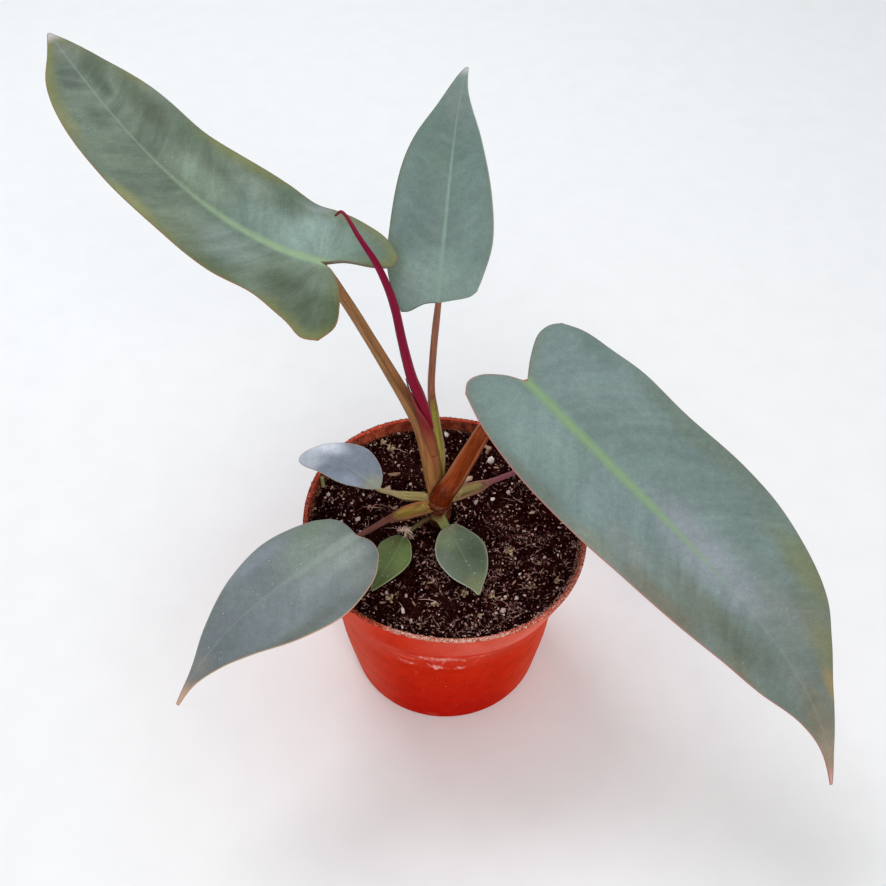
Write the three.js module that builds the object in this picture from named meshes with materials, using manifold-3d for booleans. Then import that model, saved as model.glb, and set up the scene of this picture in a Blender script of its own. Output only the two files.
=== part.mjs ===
// A young potted Philodendron atabapoense: a plastic nursery pot, its soil, a short stem with
// roots, eight open leaves and one leaf that is still rolled up.
// Millimetres, +Z up. The origin is the middle of the pot's flat underside, and -Y is the front.
import * as THREE from "three";
import { mergeVertices } from "three/addons/utils/BufferGeometryUtils.js";
import Module from "manifold-3d";

const wasm = await Module();
wasm.setup();

// Driving dimensions
const GAP = 0.3;
const POT_HEIGHT = 78;
const LIP_RADIUS = 52.5;
const LIP_WIDTH = 1.6;
const BAND_HEIGHT = 11;
const BODY_TOP_RADIUS = 50;
const FOOT_RADIUS = 36.5;
const WALL = 1.3;
const FLOOR = 1.8;
const FOOT_ROUND = 1.6;
const POT_SIDES = 48;
const DRAIN_HOLES = 8;
const DRAIN_RADIUS = 4;
const DRAIN_RING = 25;
const SOIL_LEVEL = 69.5;
const SOIL_RELIEF = 0.9;
const CHIPS = 44;
const CHIP_SIZE = [1.2, 2.5];
const BARE_ROUND_STEM = 9;
const STEM_RADIUS = 4;
const ROOTS = 5;
const TOP_ROOT_LEVEL = 62;
const ROOT_SPACING = 3;
const BLADE_THICKNESS = 0.8;
const FOLD_SOFTNESS = 2;
const RIB_DEPTH_SHARE = 0.01;
const RING_SIDES = 10;
const RINGS_PER_SPAN = 2;

// How the columns of cells are spread from the midrib to the margin, by their number.
const COLUMN_SPACING = {
  3: [0.18, 0.6, 1],
  4: [0.12, 0.42, 0.74, 1],
  5: [0.09, 0.32, 0.58, 0.82, 1],
};

const COLOURS = {
  pot: [0xc8402a, 0.45],
  soil: [0x2b1a14, 0.95],
  stem: [0x4a2a20, 0.7],
  deepGreen: [0x5d7566, 0.55],
  greyGreen: [0x64807a, 0.5],
  blueGrey: [0x76868e, 0.5],
  brightGreen: [0x5f8058, 0.5],
  olive: [0x7a6a3c, 0.5],
  redBrown: [0x80402f, 0.5],
  mauve: [0x6e4a48, 0.5],
  magenta: [0x8a1738, 0.45],
};

// The leaves. A blade's outline is given flat, as [t, x]: t runs along the midrib from the top
// of the petiole to the tip, and x is positive to the right of the midrib. Each half starts with
// its sinus, from the midrib out to the lobe's end, and goes on with its margin to the tip.
// spine holds the four control points of the midrib, and faces the way that the upper side
// looks at the base and at the tip. petiole lists [x, y, z, half width, half height, groove].
const LEAVES = [
  {
    name: "right_leaf",
    colours: ["greyGreen", "redBrown"],
    spine: [[28.6, 14.9, 133], [80, -39, 107], [122, -68, 89], [127.4, -88.4, 44]],
    faces: [[0.2, -0.54, 0.82], [0.12, -0.58, 0.8]],
    fold: 10,
    curlRadius: 165,
    wave: { height: 0.7, length: 52, phase: 0.4, at: 26 },
    cells: [22, 5],
    right: {
      sinus: [[0, 0], [-6.3, 4.4], [-11.6, 11.1], [-12.4, 16], [-9.5, 19.8]],
      margin: [
        [-9.5, 19.8], [1.6, 23.2], [15.6, 25.2], [32.7, 26.1], [50.5, 26], [67.1, 24.3],
        [92.3, 21.9], [108.9, 18.6], [126.9, 14.2], [144.5, 6.7], [157.6, 2.6], [173.4, 0.4],
      ],
    },
    left: {
      sinus: [[0, 0], [-6, -7.2], [-10, -14.5], [-9.7, -19.5], [-7.5, -23.1]],
      margin: [
        [-7.5, -23.1], [-0.4, -26.6], [11.9, -28.6], [27.1, -31.2], [51, -30.8], [84, -31.5],
        [99.4, -28.3], [117.1, -22.2], [127.4, -15.9], [140.9, -8.5], [160.2, -2.1], [173.4, -0.4],
      ],
    },
    petiole: [
      [-1.2, 9.5, 76, 3.6, 3.2, 0], [-0.6, 8.2, 81, 4, 3.4, 0.1], [3.1, 8.4, 89, 3.6, 3.2, 0.45],
      [8.1, 9.1, 100, 3.3, 3, 0.5], [13.9, 10, 113, 2.9, 2.7, 0.3], [21.2, 12.2, 124.5, 2.4, 2.3, 0.1],
    ],
    opens: [-0.35, -0.8, 0.5],
  },
  {
    name: "upper_left_leaf",
    colours: ["deepGreen", "olive"],
    spine: [[-38.4, 32, 171], [-83, 45, 174], [-117, 88, 203], [-139.6, 126.2, 202]],
    faces: [[0.06, -0.26, 0.96], [0.1, -0.3, 0.95]],
    fold: 8,
    curlRadius: 190,
    wave: { height: 0.7, length: 48, phase: 1.2, at: 22 },
    cells: [20, 5],
    right: {
      sinus: [[0, 0], [-7.4, 2.1], [-17.4, 2.6], [-22.6, 4], [-24, 7.4]],
      margin: [
        [-24, 7.4], [-18.5, 13.3], [-9.4, 17.4], [0.3, 20.1], [10.5, 20.8], [26, 23],
        [50, 21.8], [69.1, 19.5], [88.1, 17.8], [101.1, 15.6], [119.3, 9.5], [136.6, 3.6],
        [144.9, 0.4],
      ],
    },
    left: {
      sinus: [[0, 0], [-7.4, -6.7], [-11.4, -14.5], [-12.8, -23.5], [-9.5, -30.1]],
      margin: [
        [-9.5, -30.1], [-4.1, -30.8], [3.6, -25.2], [14.3, -20], [28.8, -19.3], [46.6, -18.2],
        [74.3, -17.5], [97.1, -16.3], [116.4, -12.1], [131.3, -5.3], [144.9, -0.4],
      ],
    },
    petiole: [
      [-2.6, 12.5, 80, 3.2, 2.8, 0], [-3.5, 13.7, 85, 3.8, 3, 0.3], [-5.1, 16.9, 97, 3.9, 2.9, 0.55],
      [-8.2, 19.5, 110, 3.5, 2.6, 0.55], [-15.3, 22.6, 124, 2.3, 2, 0.3],
      [-24, 26.5, 142, 2, 1.8, 0.15], [-31.5, 29.5, 157, 1.9, 1.8, 0.1],
    ],
    opens: [0.75, -0.5, 0.4],
  },
  {
    name: "upper_leaf",
    colours: ["greyGreen", "mauve"],
    spine: [[-1, 34.6, 151], [3, 54, 182], [6, 76, 206], [10.1, 90.6, 206]],
    faces: [[-0.05, -0.66, 0.75], [0, -0.55, 0.83]],
    fold: 6,
    curlRadius: 150,
    wave: { height: 0.4, length: 40, phase: 0.2, at: 16 },
    cells: [14, 4],
    right: {
      sinus: [[0, 0], [1.1, 4], [3.2, 10.5], [5.1, 12.7]],
      margin: [
        [5.1, 12.7], [10.2, 14.2], [21.6, 16.3], [36.9, 14.4], [54.5, 9.1], [70.1, 2.6], [81.1, 0.4],
      ],
    },
    left: {
      sinus: [[0, 0], [-0.8, -4.3], [-4, -9.8], [-4.3, -12.2]],
      margin: [
        [-4.3, -12.2], [-0.4, -14.4], [10, -18], [25.1, -18.4], [42, -16.6], [52.6, -13.4],
        [66.1, -6.3], [81.1, -0.4],
      ],
    },
    petiole: [
      [-1.6, 13.4, 86, 2.4, 2.2, 0], [-0.6, 17, 96, 2.5, 2.2, 0.4], [-1.6, 23, 107.5, 2, 1.9, 0.4],
      [-2.9, 27, 118, 1.3, 1.3, 0.1], [-2.5, 30.9, 131, 1.25, 1.25, 0], [-1.9, 33.5, 142, 1.25, 1.25, 0],
    ],
    opens: [0.4, -0.8, 0.3],
  },
  {
    name: "lower_left_leaf",
    colours: ["blueGrey", "olive"],
    spine: [[-29.8, -19.2, 94], [-57, -42, 95], [-74, -52, 91], [-87.8, -70.5, 71]],
    faces: [[-0.08, -0.36, 0.93], [-0.12, -0.42, 0.9]],
    fold: 13,
    curlRadius: 130,
    wave: { height: 0.4, length: 38, phase: 0.8, at: 18 },
    cells: [15, 4],
    right: {
      sinus: [[0, 0], [0.7, 4.3], [2, 7.3], [4.5, 9.7]],
      margin: [
        [4.5, 9.7], [10.9, 12.5], [27.1, 14.8], [42.4, 12.2], [57.3, 6.8], [70.5, 2], [83.1, 0.5],
      ],
    },
    left: {
      sinus: [[0, 0], [-2.2, -4.2], [-2.3, -7.4], [-1.1, -10.6]],
      margin: [
        [-1.1, -10.6], [5.2, -16.8], [14.3, -20.6], [23.2, -21.8], [39.5, -18.9], [54.2, -11.9],
        [64.5, -6.5], [75.1, -1.9], [83.1, -0.5],
      ],
    },
    petiole: [
      [-2.4, 8.2, 75.5, 1.8, 1.8, 0], [-8, 4.6, 79.5, 2.2, 2.2, 0.4], [-14.1, 0.4, 82, 2.3, 2.2, 0.5],
      [-20.4, -6, 85.4, 1.2, 1.2, 0.1], [-25.4, -12.6, 89, 1.05, 1.05, 0],
    ],
    opens: [0, -0.5, 0.85],
  },
  {
    name: "left_leaf",
    colours: ["blueGrey", "olive"],
    spine: [[-23.3, 9.8, 84], [-33.9, 13.5, 89.6], [-37.2, 21.3, 92.4], [-54.1, 22.8, 86]],
    faces: [[0, -0.22, 0.98], [0, -0.22, 0.98]],
    fold: 8,
    curlRadius: 75,
    wave: { height: 0, length: 40, phase: 0, at: 8 },
    cells: [9, 3],
    right: {
      sinus: [[0, 0], [0.4, 2.4], [1.7, 5.2]],
      margin: [[1.7, 5.2], [5.1, 7.7], [13, 9.8], [22.6, 6.4], [28.9, 3.3], [35.1, 0.4]],
    },
    left: {
      sinus: [[0, 0], [1.5, -1.2], [4.5, -3.3]],
      margin: [[4.5, -3.3], [12.6, -7.1], [18.6, -7.4], [30.1, -4.9], [35.1, -0.4]],
    },
    petiole: [
      [-3, 9.6, 77, 1.6, 1.6, 0], [-8, 9.6, 79, 1.9, 1.7, 0.3], [-14, 8.9, 80.8, 1.8, 1.6, 0.3],
      [-19, 9.4, 82.2, 1, 1, 0],
    ],
    opens: [0, -0.4, 0.9],
  },
  {
    name: "front_leaf",
    colours: ["greyGreen", "olive"],
    spine: [[1, -2.8, 77], [4.4, -11.7, 79.3], [9.9, -23.3, 76.8], [11.8, -31.1, 74]],
    faces: [[0.05, -0.3, 0.95], [0.05, -0.3, 0.95]],
    fold: 8,
    curlRadius: 100,
    wave: { height: 0, length: 40, phase: 0, at: 8 },
    cells: [9, 3],
    right: {
      sinus: [[0, 0], [1, 2.7], [3.8, 5.4]],
      margin: [[3.8, 5.4], [7.7, 7.8], [13.5, 9.2], [21.6, 7], [28.1, 1.8], [30.5, 0.4]],
    },
    left: {
      sinus: [[0, 0], [-0.2, -2.5], [2.7, -4.9]],
      margin: [[2.7, -4.9], [10.8, -8.4], [15, -8.8], [22.4, -6.2], [28.4, -1.8], [30.5, -0.4]],
    },
    petiole: [
      [-2, 6.4, 72.5, 1.5, 1.4, 0], [-1.6, 3.4, 75.2, 1.9, 1.3, 0.3], [-0.6, 0.6, 76.2, 1.2, 1, 0.1],
    ],
    opens: [0, -0.4, 0.9],
  },
  {
    name: "small_leaf",
    colours: ["brightGreen", "olive"],
    spine: [[-14.6, -5.9, 75.5], [-16, -13.7, 77.8], [-21, -21.5, 77.5], [-25.8, -29.1, 74.5]],
    faces: [[-0.05, -0.3, 0.95], [-0.05, -0.3, 0.95]],
    fold: 8,
    curlRadius: 100,
    wave: { height: 0, length: 40, phase: 0, at: 8 },
    cells: [8, 3],
    right: {
      sinus: [[0, 0], [-0.5, 2.3], [2.1, 4.7]],
      margin: [[2.1, 4.7], [6.7, 6.6], [11, 6.6], [18, 3.9], [24, 1.1], [26, 0.4]],
    },
    left: {
      sinus: [[0, 0], [0.9, -1.7], [3.1, -3.4]],
      margin: [[3.1, -3.4], [9.5, -6.2], [13.5, -6], [20.4, -3.3], [26, -0.4]],
    },
    petiole: [
      [-3.6, 5.6, 73.4, 1, 1, 0], [-7.6, 1.4, 75.4, 0.9, 0.9, 0], [-11.6, -2.8, 76, 0.8, 0.8, 0],
    ],
    opens: [0, -0.4, 0.9],
  },
  {
    name: "hidden_leaf",
    colours: ["greyGreen", "mauve"],
    spine: [[37.6, 6, 103.5], [58, -9, 108], [78, -24, 100], [90, -33.5, 84]],
    faces: [[0.1, -0.42, 0.9], [0.14, -0.46, 0.88]],
    fold: 8,
    curlRadius: 130,
    wave: { height: 0.4, length: 38, phase: 2, at: 16 },
    cells: [13, 4],
    right: {
      sinus: [[0, 0], [-0.8, 4.2], [-2.8, 8.6], [-1.2, 12]],
      margin: [[-1.2, 12], [8, 15.4], [22, 16.4], [40, 13], [56, 6.4], [68.5, 0.4]],
    },
    left: {
      sinus: [[0, 0], [-0.8, -4.2], [-2.8, -8.6], [-1.2, -12]],
      margin: [[-1.2, -12], [8, -15.4], [22, -16.4], [40, -13], [56, -6.4], [68.5, -0.4]],
    },
    petiole: [
      [-0.4, 11, 76, 1.8, 1.8, 0], [6, 11.8, 79.5, 2.3, 2.2, 0.4], [12.6, 10, 84.6, 2.1, 2, 0.4],
      [17.4, 8.4, 89, 1, 1, 0], [25.5, 6.8, 95.6, 0.9, 0.9, 0], [32.5, 6.4, 101, 0.9, 0.9, 0],
    ],
    opens: [0.2, -0.5, 0.8],
  },
];

// The rolled leaf leaves the upper left leaf's sheath and ends in a hooked tip.
const ROLLED_LEAF = [
  [-6.7, 17, 110, 1.7, 1.7, 0], [-8, 17.2, 118, 2.1, 2.1, 0], [-10.7, 18.4, 128, 1.9, 1.9, 0],
  [-13.1, 20.6, 147, 1.6, 1.6, 0], [-15, 22.4, 159.6, 1.5, 1.5, 0], [-17.2, 22.6, 169, 1.3, 1.3, 0],
  [-20.2, 22.9, 177.6, 1.1, 1.1, 0], [-24.6, 24, 186, 0.8, 0.8, 0], [-29.7, 28.6, 192.6, 0.5, 0.5, 0],
  [-32.2, 31.2, 189.6, 0.4, 0.4, 0],
];

// The stem, from inside the soil to where the youngest petioles clasp it, with ringed leaf scars.
const STEM_STATIONS = [
  [-1.5, 6.8, 44, 1.6, 1.6, 0], [-1.5, 6.8, 54, 3, 3, 0], [-1.5, 6.8, 66, 3.8, 3.8, 0],
  [-1.5, 7, 70.5, STEM_RADIUS, STEM_RADIUS, 0], [-1.5, 7.1, 72.3, 4.3, 4.3, 0],
  [-1.5, 7.3, 73, 3.8, 3.8, 0], [-1.6, 7.7, 75.6, 4.1, 4.1, 0], [-1.6, 7.9, 76.3, 3.6, 3.6, 0],
  [-1.8, 8.5, 79.4, 3.7, 3.7, 0], [-1.9, 8.8, 80.1, 3.2, 3.2, 0], [-2.4, 10.8, 86, 2.4, 2.4, 0],
];

// A root's course, as [distance from the stem's middle, drop, radius].
const ROOT_SHAPE = [[1.5, 0, 1.5], [9, 3, 1.3], [18, 13, 1.1], [24, 30, 0.8]];

const vector = (list) => new THREE.Vector3(list[0], list[1], list[2]);

// Closed solids from plain geometry, and back
function solidFrom(geometry) {
  const bare = geometry.clone();
  bare.deleteAttribute("normal");
  bare.deleteAttribute("uv");
  const merged = mergeVertices(bare, 1e-4);
  return new wasm.Manifold(
    new wasm.Mesh({
      numProp: 3,
      vertProperties: new Float32Array(merged.attributes.position.array),
      triVerts: new Uint32Array(merged.index.array),
    }),
  );
}

function geometryFrom(solid) {
  const mesh = solid.getMesh();
  const geometry = new THREE.BufferGeometry();
  geometry.setAttribute("position", new THREE.BufferAttribute(mesh.vertProperties, 3));
  geometry.setIndex(new THREE.BufferAttribute(mesh.triVerts, 1));
  geometry.computeVertexNormals();
  return geometry;
}

function geometryOf(points, triangles) {
  const geometry = new THREE.BufferGeometry().setFromPoints(points);
  geometry.setIndex(triangles);
  return geometry;
}

function largestBody(solid) {
  return solid.decompose().sort((a, b) => b.volume() - a.volume())[0];
}

// Blades
function bladeFrame(leaf) {
  const curve = new THREE.CubicBezierCurve3(...leaf.spine.map(vector));
  curve.arcLengthDivisions = 400;
  const length = curve.getLength();
  const [faceAtBase, faceAtTip] = leaf.faces.map(vector);
  // The frame at t: before the base the midrib's line goes straight on, to carry the lobes.
  return (t) => {
    const inside = THREE.MathUtils.clamp(t, 0, length);
    const along = curve.getTangentAt(inside / length);
    const origin = curve.getPointAt(inside / length).addScaledVector(along, t - inside);
    const up = faceAtBase.clone().normalize().lerp(faceAtTip.clone().normalize(), inside / length);
    up.addScaledVector(along, -up.dot(along)).normalize();
    return { origin, along, up, across: new THREE.Vector3().crossVectors(along, up) };
  };
}

// The blade's middle surface, folded along the midrib, arched and waved at the margin.
function bladeSurface(leaf) {
  const frameAt = bladeFrame(leaf);
  const slope = Math.tan(THREE.MathUtils.degToRad(leaf.fold));
  const wave = leaf.wave;
  return (t, x) => {
    const frame = frameAt(t);
    const toMargin = Math.min(Math.abs(x) / wave.at, 1.5);
    const turn = (2 * Math.PI * t) / wave.length + wave.phase + (x > 0 ? 1.7 : 0);
    const lift =
      slope * (Math.hypot(x, FOLD_SOFTNESS) - FOLD_SOFTNESS) -
      (x * x) / (2 * leaf.curlRadius) +
      wave.height * toMargin ** 2 * Math.sin(turn);
    return frame.origin.addScaledVector(frame.across, x).addScaledVector(frame.up, lift);
  };
}

const flatCurve = (points) =>
  new THREE.CatmullRomCurve3(points.map(([t, x]) => new THREE.Vector3(t, x, 0)));

// One half of the outline, filled by blending its sinus, margin and midrib. s runs from the
// sinus to the tip and v from the midrib to the margin.
function halfPatch(half) {
  const sinus = flatCurve(half.sinus);
  const margin = flatCurve(half.margin);
  const lobe = sinus.getPointAt(1);
  const tip = margin.getPointAt(1);
  return (s, v) => {
    const point = sinus.getPointAt(v).multiplyScalar(1 - s);
    point.x += (1 - v) * s * tip.x;
    point.addScaledVector(margin.getPointAt(s), v);
    point.addScaledVector(lobe, -(1 - s) * v);
    return [point.x, point.y];
  };
}

function surfaceNormal(surface, t, x) {
  const step = 0.5;
  const across = surface(t, x + step).sub(surface(t, x - step));
  const along = surface(t + step, x).sub(surface(t - step, x));
  return across.cross(along).normalize();
}

// A closed blade: the same triangles above and below, a rib under the midrib and a narrow rim.
// grow swells it on all sides, to cut its seat in a neighbour.
function bladeGeometry(leaf, grow) {
  const [rows, half] = leaf.cells;
  const surface = bladeSurface(leaf);
  const right = halfPatch(leaf.right);
  const left = halfPatch(leaf.left);
  const spacing = COLUMN_SPACING[half];
  const ribDepth = RIB_DEPTH_SHARE * leaf.right.margin.at(-1)[0];
  const across = 2 * half + 1;
  const upper = [];
  const lower = [];
  for (let row = 0; row <= rows; row++) {
    const s = row / rows;
    for (let column = -half; column <= half; column++) {
      const side = Math.sign(column);
      const v = side ? spacing[Math.abs(column) - 1] : 0;
      let [t, x] = side < 0 ? left(s, v) : right(s, v);
      if (row === 0) t -= grow;
      if (row === rows) t += grow;
      if (Math.abs(column) === half) x += grow * side;
      const normal = surfaceNormal(surface, t, x);
      const above = BLADE_THICKNESS / 2 + grow;
      const below = above + (side ? 0 : ribDepth * (1 - s));
      upper.push(surface(t, x).addScaledVector(normal, above));
      lower.push(surface(t, x).addScaledVector(normal, -below));
    }
  }
  const offset = upper.length;
  const triangles = [];
  const quad = (a, b, c, d) => triangles.push(a, b, c, a, c, d);
  for (let row = 0; row < rows; row++) {
    for (let column = 0; column < across - 1; column++) {
      const a = row * across + column;
      const [b, c, d] = [a + 1, a + 1 + across, a + across];
      quad(a, b, c, d);
      quad(offset + a, offset + d, offset + c, offset + b);
    }
  }
  const rim = [];
  for (let column = 0; column < across; column++) rim.push(column);
  for (let row = 1; row <= rows; row++) rim.push(row * across + across - 1);
  for (let column = across - 2; column >= 0; column--) rim.push(rows * across + column);
  for (let row = rows - 1; row > 0; row--) rim.push(row * across);
  rim.forEach((a, i) => {
    const b = rim[(i + 1) % rim.length];
    quad(a, offset + a, offset + b, b);
  });
  return geometryOf([...upper, ...lower], triangles);
}

// Petioles, the stem and the rolled leaf: a closed loft through stations, each
// [x, y, z, half width, half height, groove]. The groove dents the side that opens faces.
function loftGeometry(stations, opens, grow) {
  const line = new THREE.CatmullRomCurve3(stations.map(vector));
  const spans = stations.length - 1;
  const rings = spans * RINGS_PER_SPAN;
  const facing = vector(opens).normalize();
  const points = [];
  for (let ring = 0; ring <= rings; ring++) {
    const u = ring / rings;
    const span = Math.min(Math.floor(u * spans), spans - 1);
    const part = u * spans - span;
    const between = (k) => THREE.MathUtils.lerp(stations[span][k], stations[span + 1][k], part);
    const along = line.getTangent(u);
    const open = facing.clone().addScaledVector(along, -facing.dot(along)).normalize();
    const side = new THREE.Vector3().crossVectors(along, open);
    const centre = line.getPoint(u);
    if (ring === 0) centre.addScaledVector(along, -grow);
    if (ring === rings) centre.addScaledVector(along, grow);
    for (let k = 0; k < RING_SIDES; k++) {
      const angle = (2 * Math.PI * k) / RING_SIDES;
      const depth = k === 0 ? 1 - between(5) : 1;
      points.push(
        centre
          .clone()
          .addScaledVector(side, (between(3) + grow) * Math.sin(angle))
          .addScaledVector(open, (between(4) * depth + grow) * Math.cos(angle)),
      );
    }
    if (ring === 0 || ring === rings) points.push(centre);
  }
  return geometryOf(points, loftTriangles(rings));
}

// The first and last rings are each followed by their middle point.
function loftTriangles(rings) {
  const startOf = (ring) => ring * RING_SIDES + (ring > 0 ? 1 : 0);
  const triangles = [];
  for (let k = 0; k < RING_SIDES; k++) {
    const next = (k + 1) % RING_SIDES;
    triangles.push(RING_SIDES, next, k);
    const last = startOf(rings);
    triangles.push(last + RING_SIDES, last + k, last + next);
    for (let ring = 0; ring < rings; ring++) {
      const [a, b] = [startOf(ring) + k, startOf(ring) + next];
      const [c, d] = [startOf(ring + 1) + next, startOf(ring + 1) + k];
      triangles.push(a, b, c, a, c, d);
    }
  }
  return triangles;
}

// The petiole's last stations run on under the blade, against the start of its rib.
function petioleStations(leaf) {
  const surface = bladeSurface(leaf);
  const radius = leaf.petiole.at(-1)[3];
  const under = (t, size) => {
    const sunk = surface(t, 0).addScaledVector(surfaceNormal(surface, t, 0), -size);
    return [sunk.x, sunk.y, sunk.z, size, size, 0];
  };
  return [...leaf.petiole, under(0, radius), under(3 * radius, 0.6 * radius)];
}

// The roots leave the buried stem one below the other, all round it.
function stemSolid(grow) {
  let solid = solidFrom(loftGeometry(STEM_STATIONS, [0, -1, 0], grow));
  const [footX, footY] = STEM_STATIONS[0];
  for (let i = 0; i < ROOTS; i++) {
    const angle = (2 * Math.PI * i) / ROOTS + 0.4;
    const stations = ROOT_SHAPE.map(([reach, drop, radius]) => {
      const [x, y] = [footX + reach * Math.cos(angle), footY + reach * Math.sin(angle)];
      return [x, y, TOP_ROOT_LEVEL - ROOT_SPACING * i - drop, radius, radius, 0];
    });
    solid = solid.add(solidFrom(loftGeometry(stations, [0, 0, 1], grow)));
  }
  return solid;
}

// Pot and soil: profiles are [radius, height], turned about the pot's axis
function turned(profile) {
  const points = profile.map(([radius, height]) => new THREE.Vector2(radius, height));
  return new THREE.LatheGeometry(points, POT_SIDES).rotateX(Math.PI / 2);
}

const BAND_FOOT = POT_HEIGHT - BAND_HEIGHT;
const BAND_STEP = 1;
const INNER_LIP_RADIUS = LIP_RADIUS - LIP_WIDTH;
const INNER_BAND_RADIUS = INNER_LIP_RADIUS - 0.3;
const INNER_BAND_FOOT = BAND_FOOT + 1.2;
const INNER_BODY_RADIUS = BODY_TOP_RADIUS - WALL;
const INNER_FOOT_RADIUS = FOOT_RADIUS - WALL;

function potSolid() {
  let pot = solidFrom(
    turned([
      [0, 0],
      [FOOT_RADIUS - 2 * FOOT_ROUND, 0],
      [FOOT_RADIUS - 0.4 * FOOT_ROUND, 0.3 * FOOT_ROUND],
      [FOOT_RADIUS, FOOT_ROUND],
      [BODY_TOP_RADIUS, BAND_FOOT - BAND_STEP],
      [LIP_RADIUS - 1, BAND_FOOT],
      [LIP_RADIUS - 0.4, POT_HEIGHT - 1.4],
      [LIP_RADIUS, POT_HEIGHT - 0.9],
      [LIP_RADIUS - 0.2, POT_HEIGHT],
      [INNER_LIP_RADIUS, POT_HEIGHT],
      [INNER_BAND_RADIUS, INNER_BAND_FOOT],
      [INNER_BODY_RADIUS, BAND_FOOT - BAND_STEP],
      [INNER_FOOT_RADIUS, FLOOR + 1],
      [INNER_FOOT_RADIUS - 1, FLOOR],
      [0, FLOOR],
    ]),
  );
  for (let i = 0; i < DRAIN_HOLES; i++) {
    const angle = (2 * Math.PI * (i + 0.5)) / DRAIN_HOLES;
    const hole = new THREE.CylinderGeometry(DRAIN_RADIUS, DRAIN_RADIUS, 3 * FLOOR, 14);
    hole.rotateX(Math.PI / 2);
    hole.translate(DRAIN_RING * Math.cos(angle), DRAIN_RING * Math.sin(angle), 0);
    pot = pot.subtract(solidFrom(hole));
  }
  return pot;
}

const relief = (x, y) =>
  SOIL_RELIEF *
  (0.55 * Math.sin(0.29 * x + 1.1) * Math.cos(0.24 * y + 0.4) +
    0.45 * Math.sin(0.61 * x - 0.47 * y + 2.3));

function randomFrom(seed) {
  let state = seed;
  return () => {
    state = (Math.imul(state, 1664525) + 1013904223) >>> 0;
    return state / 2 ** 32;
  };
}

function soilSolid() {
  const top = INNER_BAND_RADIUS - GAP;
  const rings = [1, 0.9, 0.76, 0.6, 0.44, 0.28, 0.12];
  const geometry = turned([
    [0, FLOOR + GAP],
    [INNER_FOOT_RADIUS - 1 - GAP, FLOOR + GAP],
    [INNER_FOOT_RADIUS - GAP, FLOOR + 1 + GAP],
    [INNER_BODY_RADIUS - GAP, BAND_FOOT - BAND_STEP + GAP],
    [top, INNER_BAND_FOOT + GAP],
    ...rings.map((share) => [share * top, SOIL_LEVEL]),
    [0, SOIL_LEVEL],
  ]);
  const place = geometry.attributes.position;
  for (let i = 0; i < place.count; i++) {
    if (place.getZ(i) > SOIL_LEVEL - 0.01) {
      place.setZ(i, SOIL_LEVEL + relief(place.getX(i), place.getY(i)));
    }
  }
  let soil = solidFrom(geometry);
  const random = randomFrom(7);
  for (let i = 0; i < CHIPS; i++) {
    const reach = BARE_ROUND_STEM + (top - BARE_ROUND_STEM - CHIP_SIZE[1]) * Math.sqrt(random());
    const angle = 2 * Math.PI * random();
    const [x, y] = [reach * Math.cos(angle), reach * Math.sin(angle)];
    const size = THREE.MathUtils.lerp(...CHIP_SIZE, random());
    const chip = new THREE.OctahedronGeometry(size);
    chip.scale(1, 0.8, 0.7);
    chip.rotateX(0.6 * random());
    chip.rotateZ(Math.PI * random());
    chip.translate(x, y, SOIL_LEVEL + relief(x, y) + 0.1 * size);
    soil = soil.add(solidFrom(chip));
  }
  return largestBody(soil.subtract(stemSolid(GAP)));
}

// The plant's pieces, each cut back from the ones before it
const plant = [{ name: "stem", colour: "stem", solid: stemSolid }];
for (const leaf of LEAVES) {
  plant.push({
    name: `${leaf.name}_blade`,
    colour: leaf.colours[0],
    solid: (grow) => solidFrom(bladeGeometry(leaf, grow)),
  });
}
for (const leaf of LEAVES) {
  plant.push({
    name: `${leaf.name}_petiole`,
    colour: leaf.colours[1],
    solid: (grow) => solidFrom(loftGeometry(petioleStations(leaf), leaf.opens, grow)),
  });
  if (leaf.name === "upper_left_leaf") {
    plant.push({
      name: "rolled_leaf",
      colour: "magenta",
      solid: (grow) => solidFrom(loftGeometry(ROLLED_LEAF, [0, -0.7, 0.7], grow)),
    });
  }
}

const boxOf = (solid) => {
  const { min, max } = solid.boundingBox();
  return new THREE.Box3(vector(min), vector(max));
};

const root = new THREE.Group();

function addPiece(name, colour, solid) {
  const [hex, roughness] = COLOURS[colour];
  const material = new THREE.MeshStandardMaterial({ color: hex, roughness, metalness: 0 });
  const mesh = new THREE.Mesh(geometryFrom(solid), material);
  mesh.name = name;
  root.add(mesh);
}

addPiece("pot", "pot", potSolid());
addPiece("soil", "soil", soilSolid());

const seats = [];
for (const piece of plant) {
  let solid = piece.solid(0);
  for (const seat of seats) {
    if (boxOf(seat).intersectsBox(boxOf(solid))) solid = solid.subtract(seat);
  }
  seats.push(piece.solid(GAP));
  addPiece(piece.name, piece.colour, largestBody(solid));
}

export default root;
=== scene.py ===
"""A young potted Philodendron atabapoense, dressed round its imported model.

Shapes are worked out in millimetres and built in metres. +Z is up and -Y is the front. A leaf's
blade is given flat, as (t, x): t runs along the midrib from the petiole to the tip, and x is
positive to the right of the midrib.
"""
import math

import bmesh
import bpy
import numpy as np
from mathutils import Matrix, Vector, noise


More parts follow.
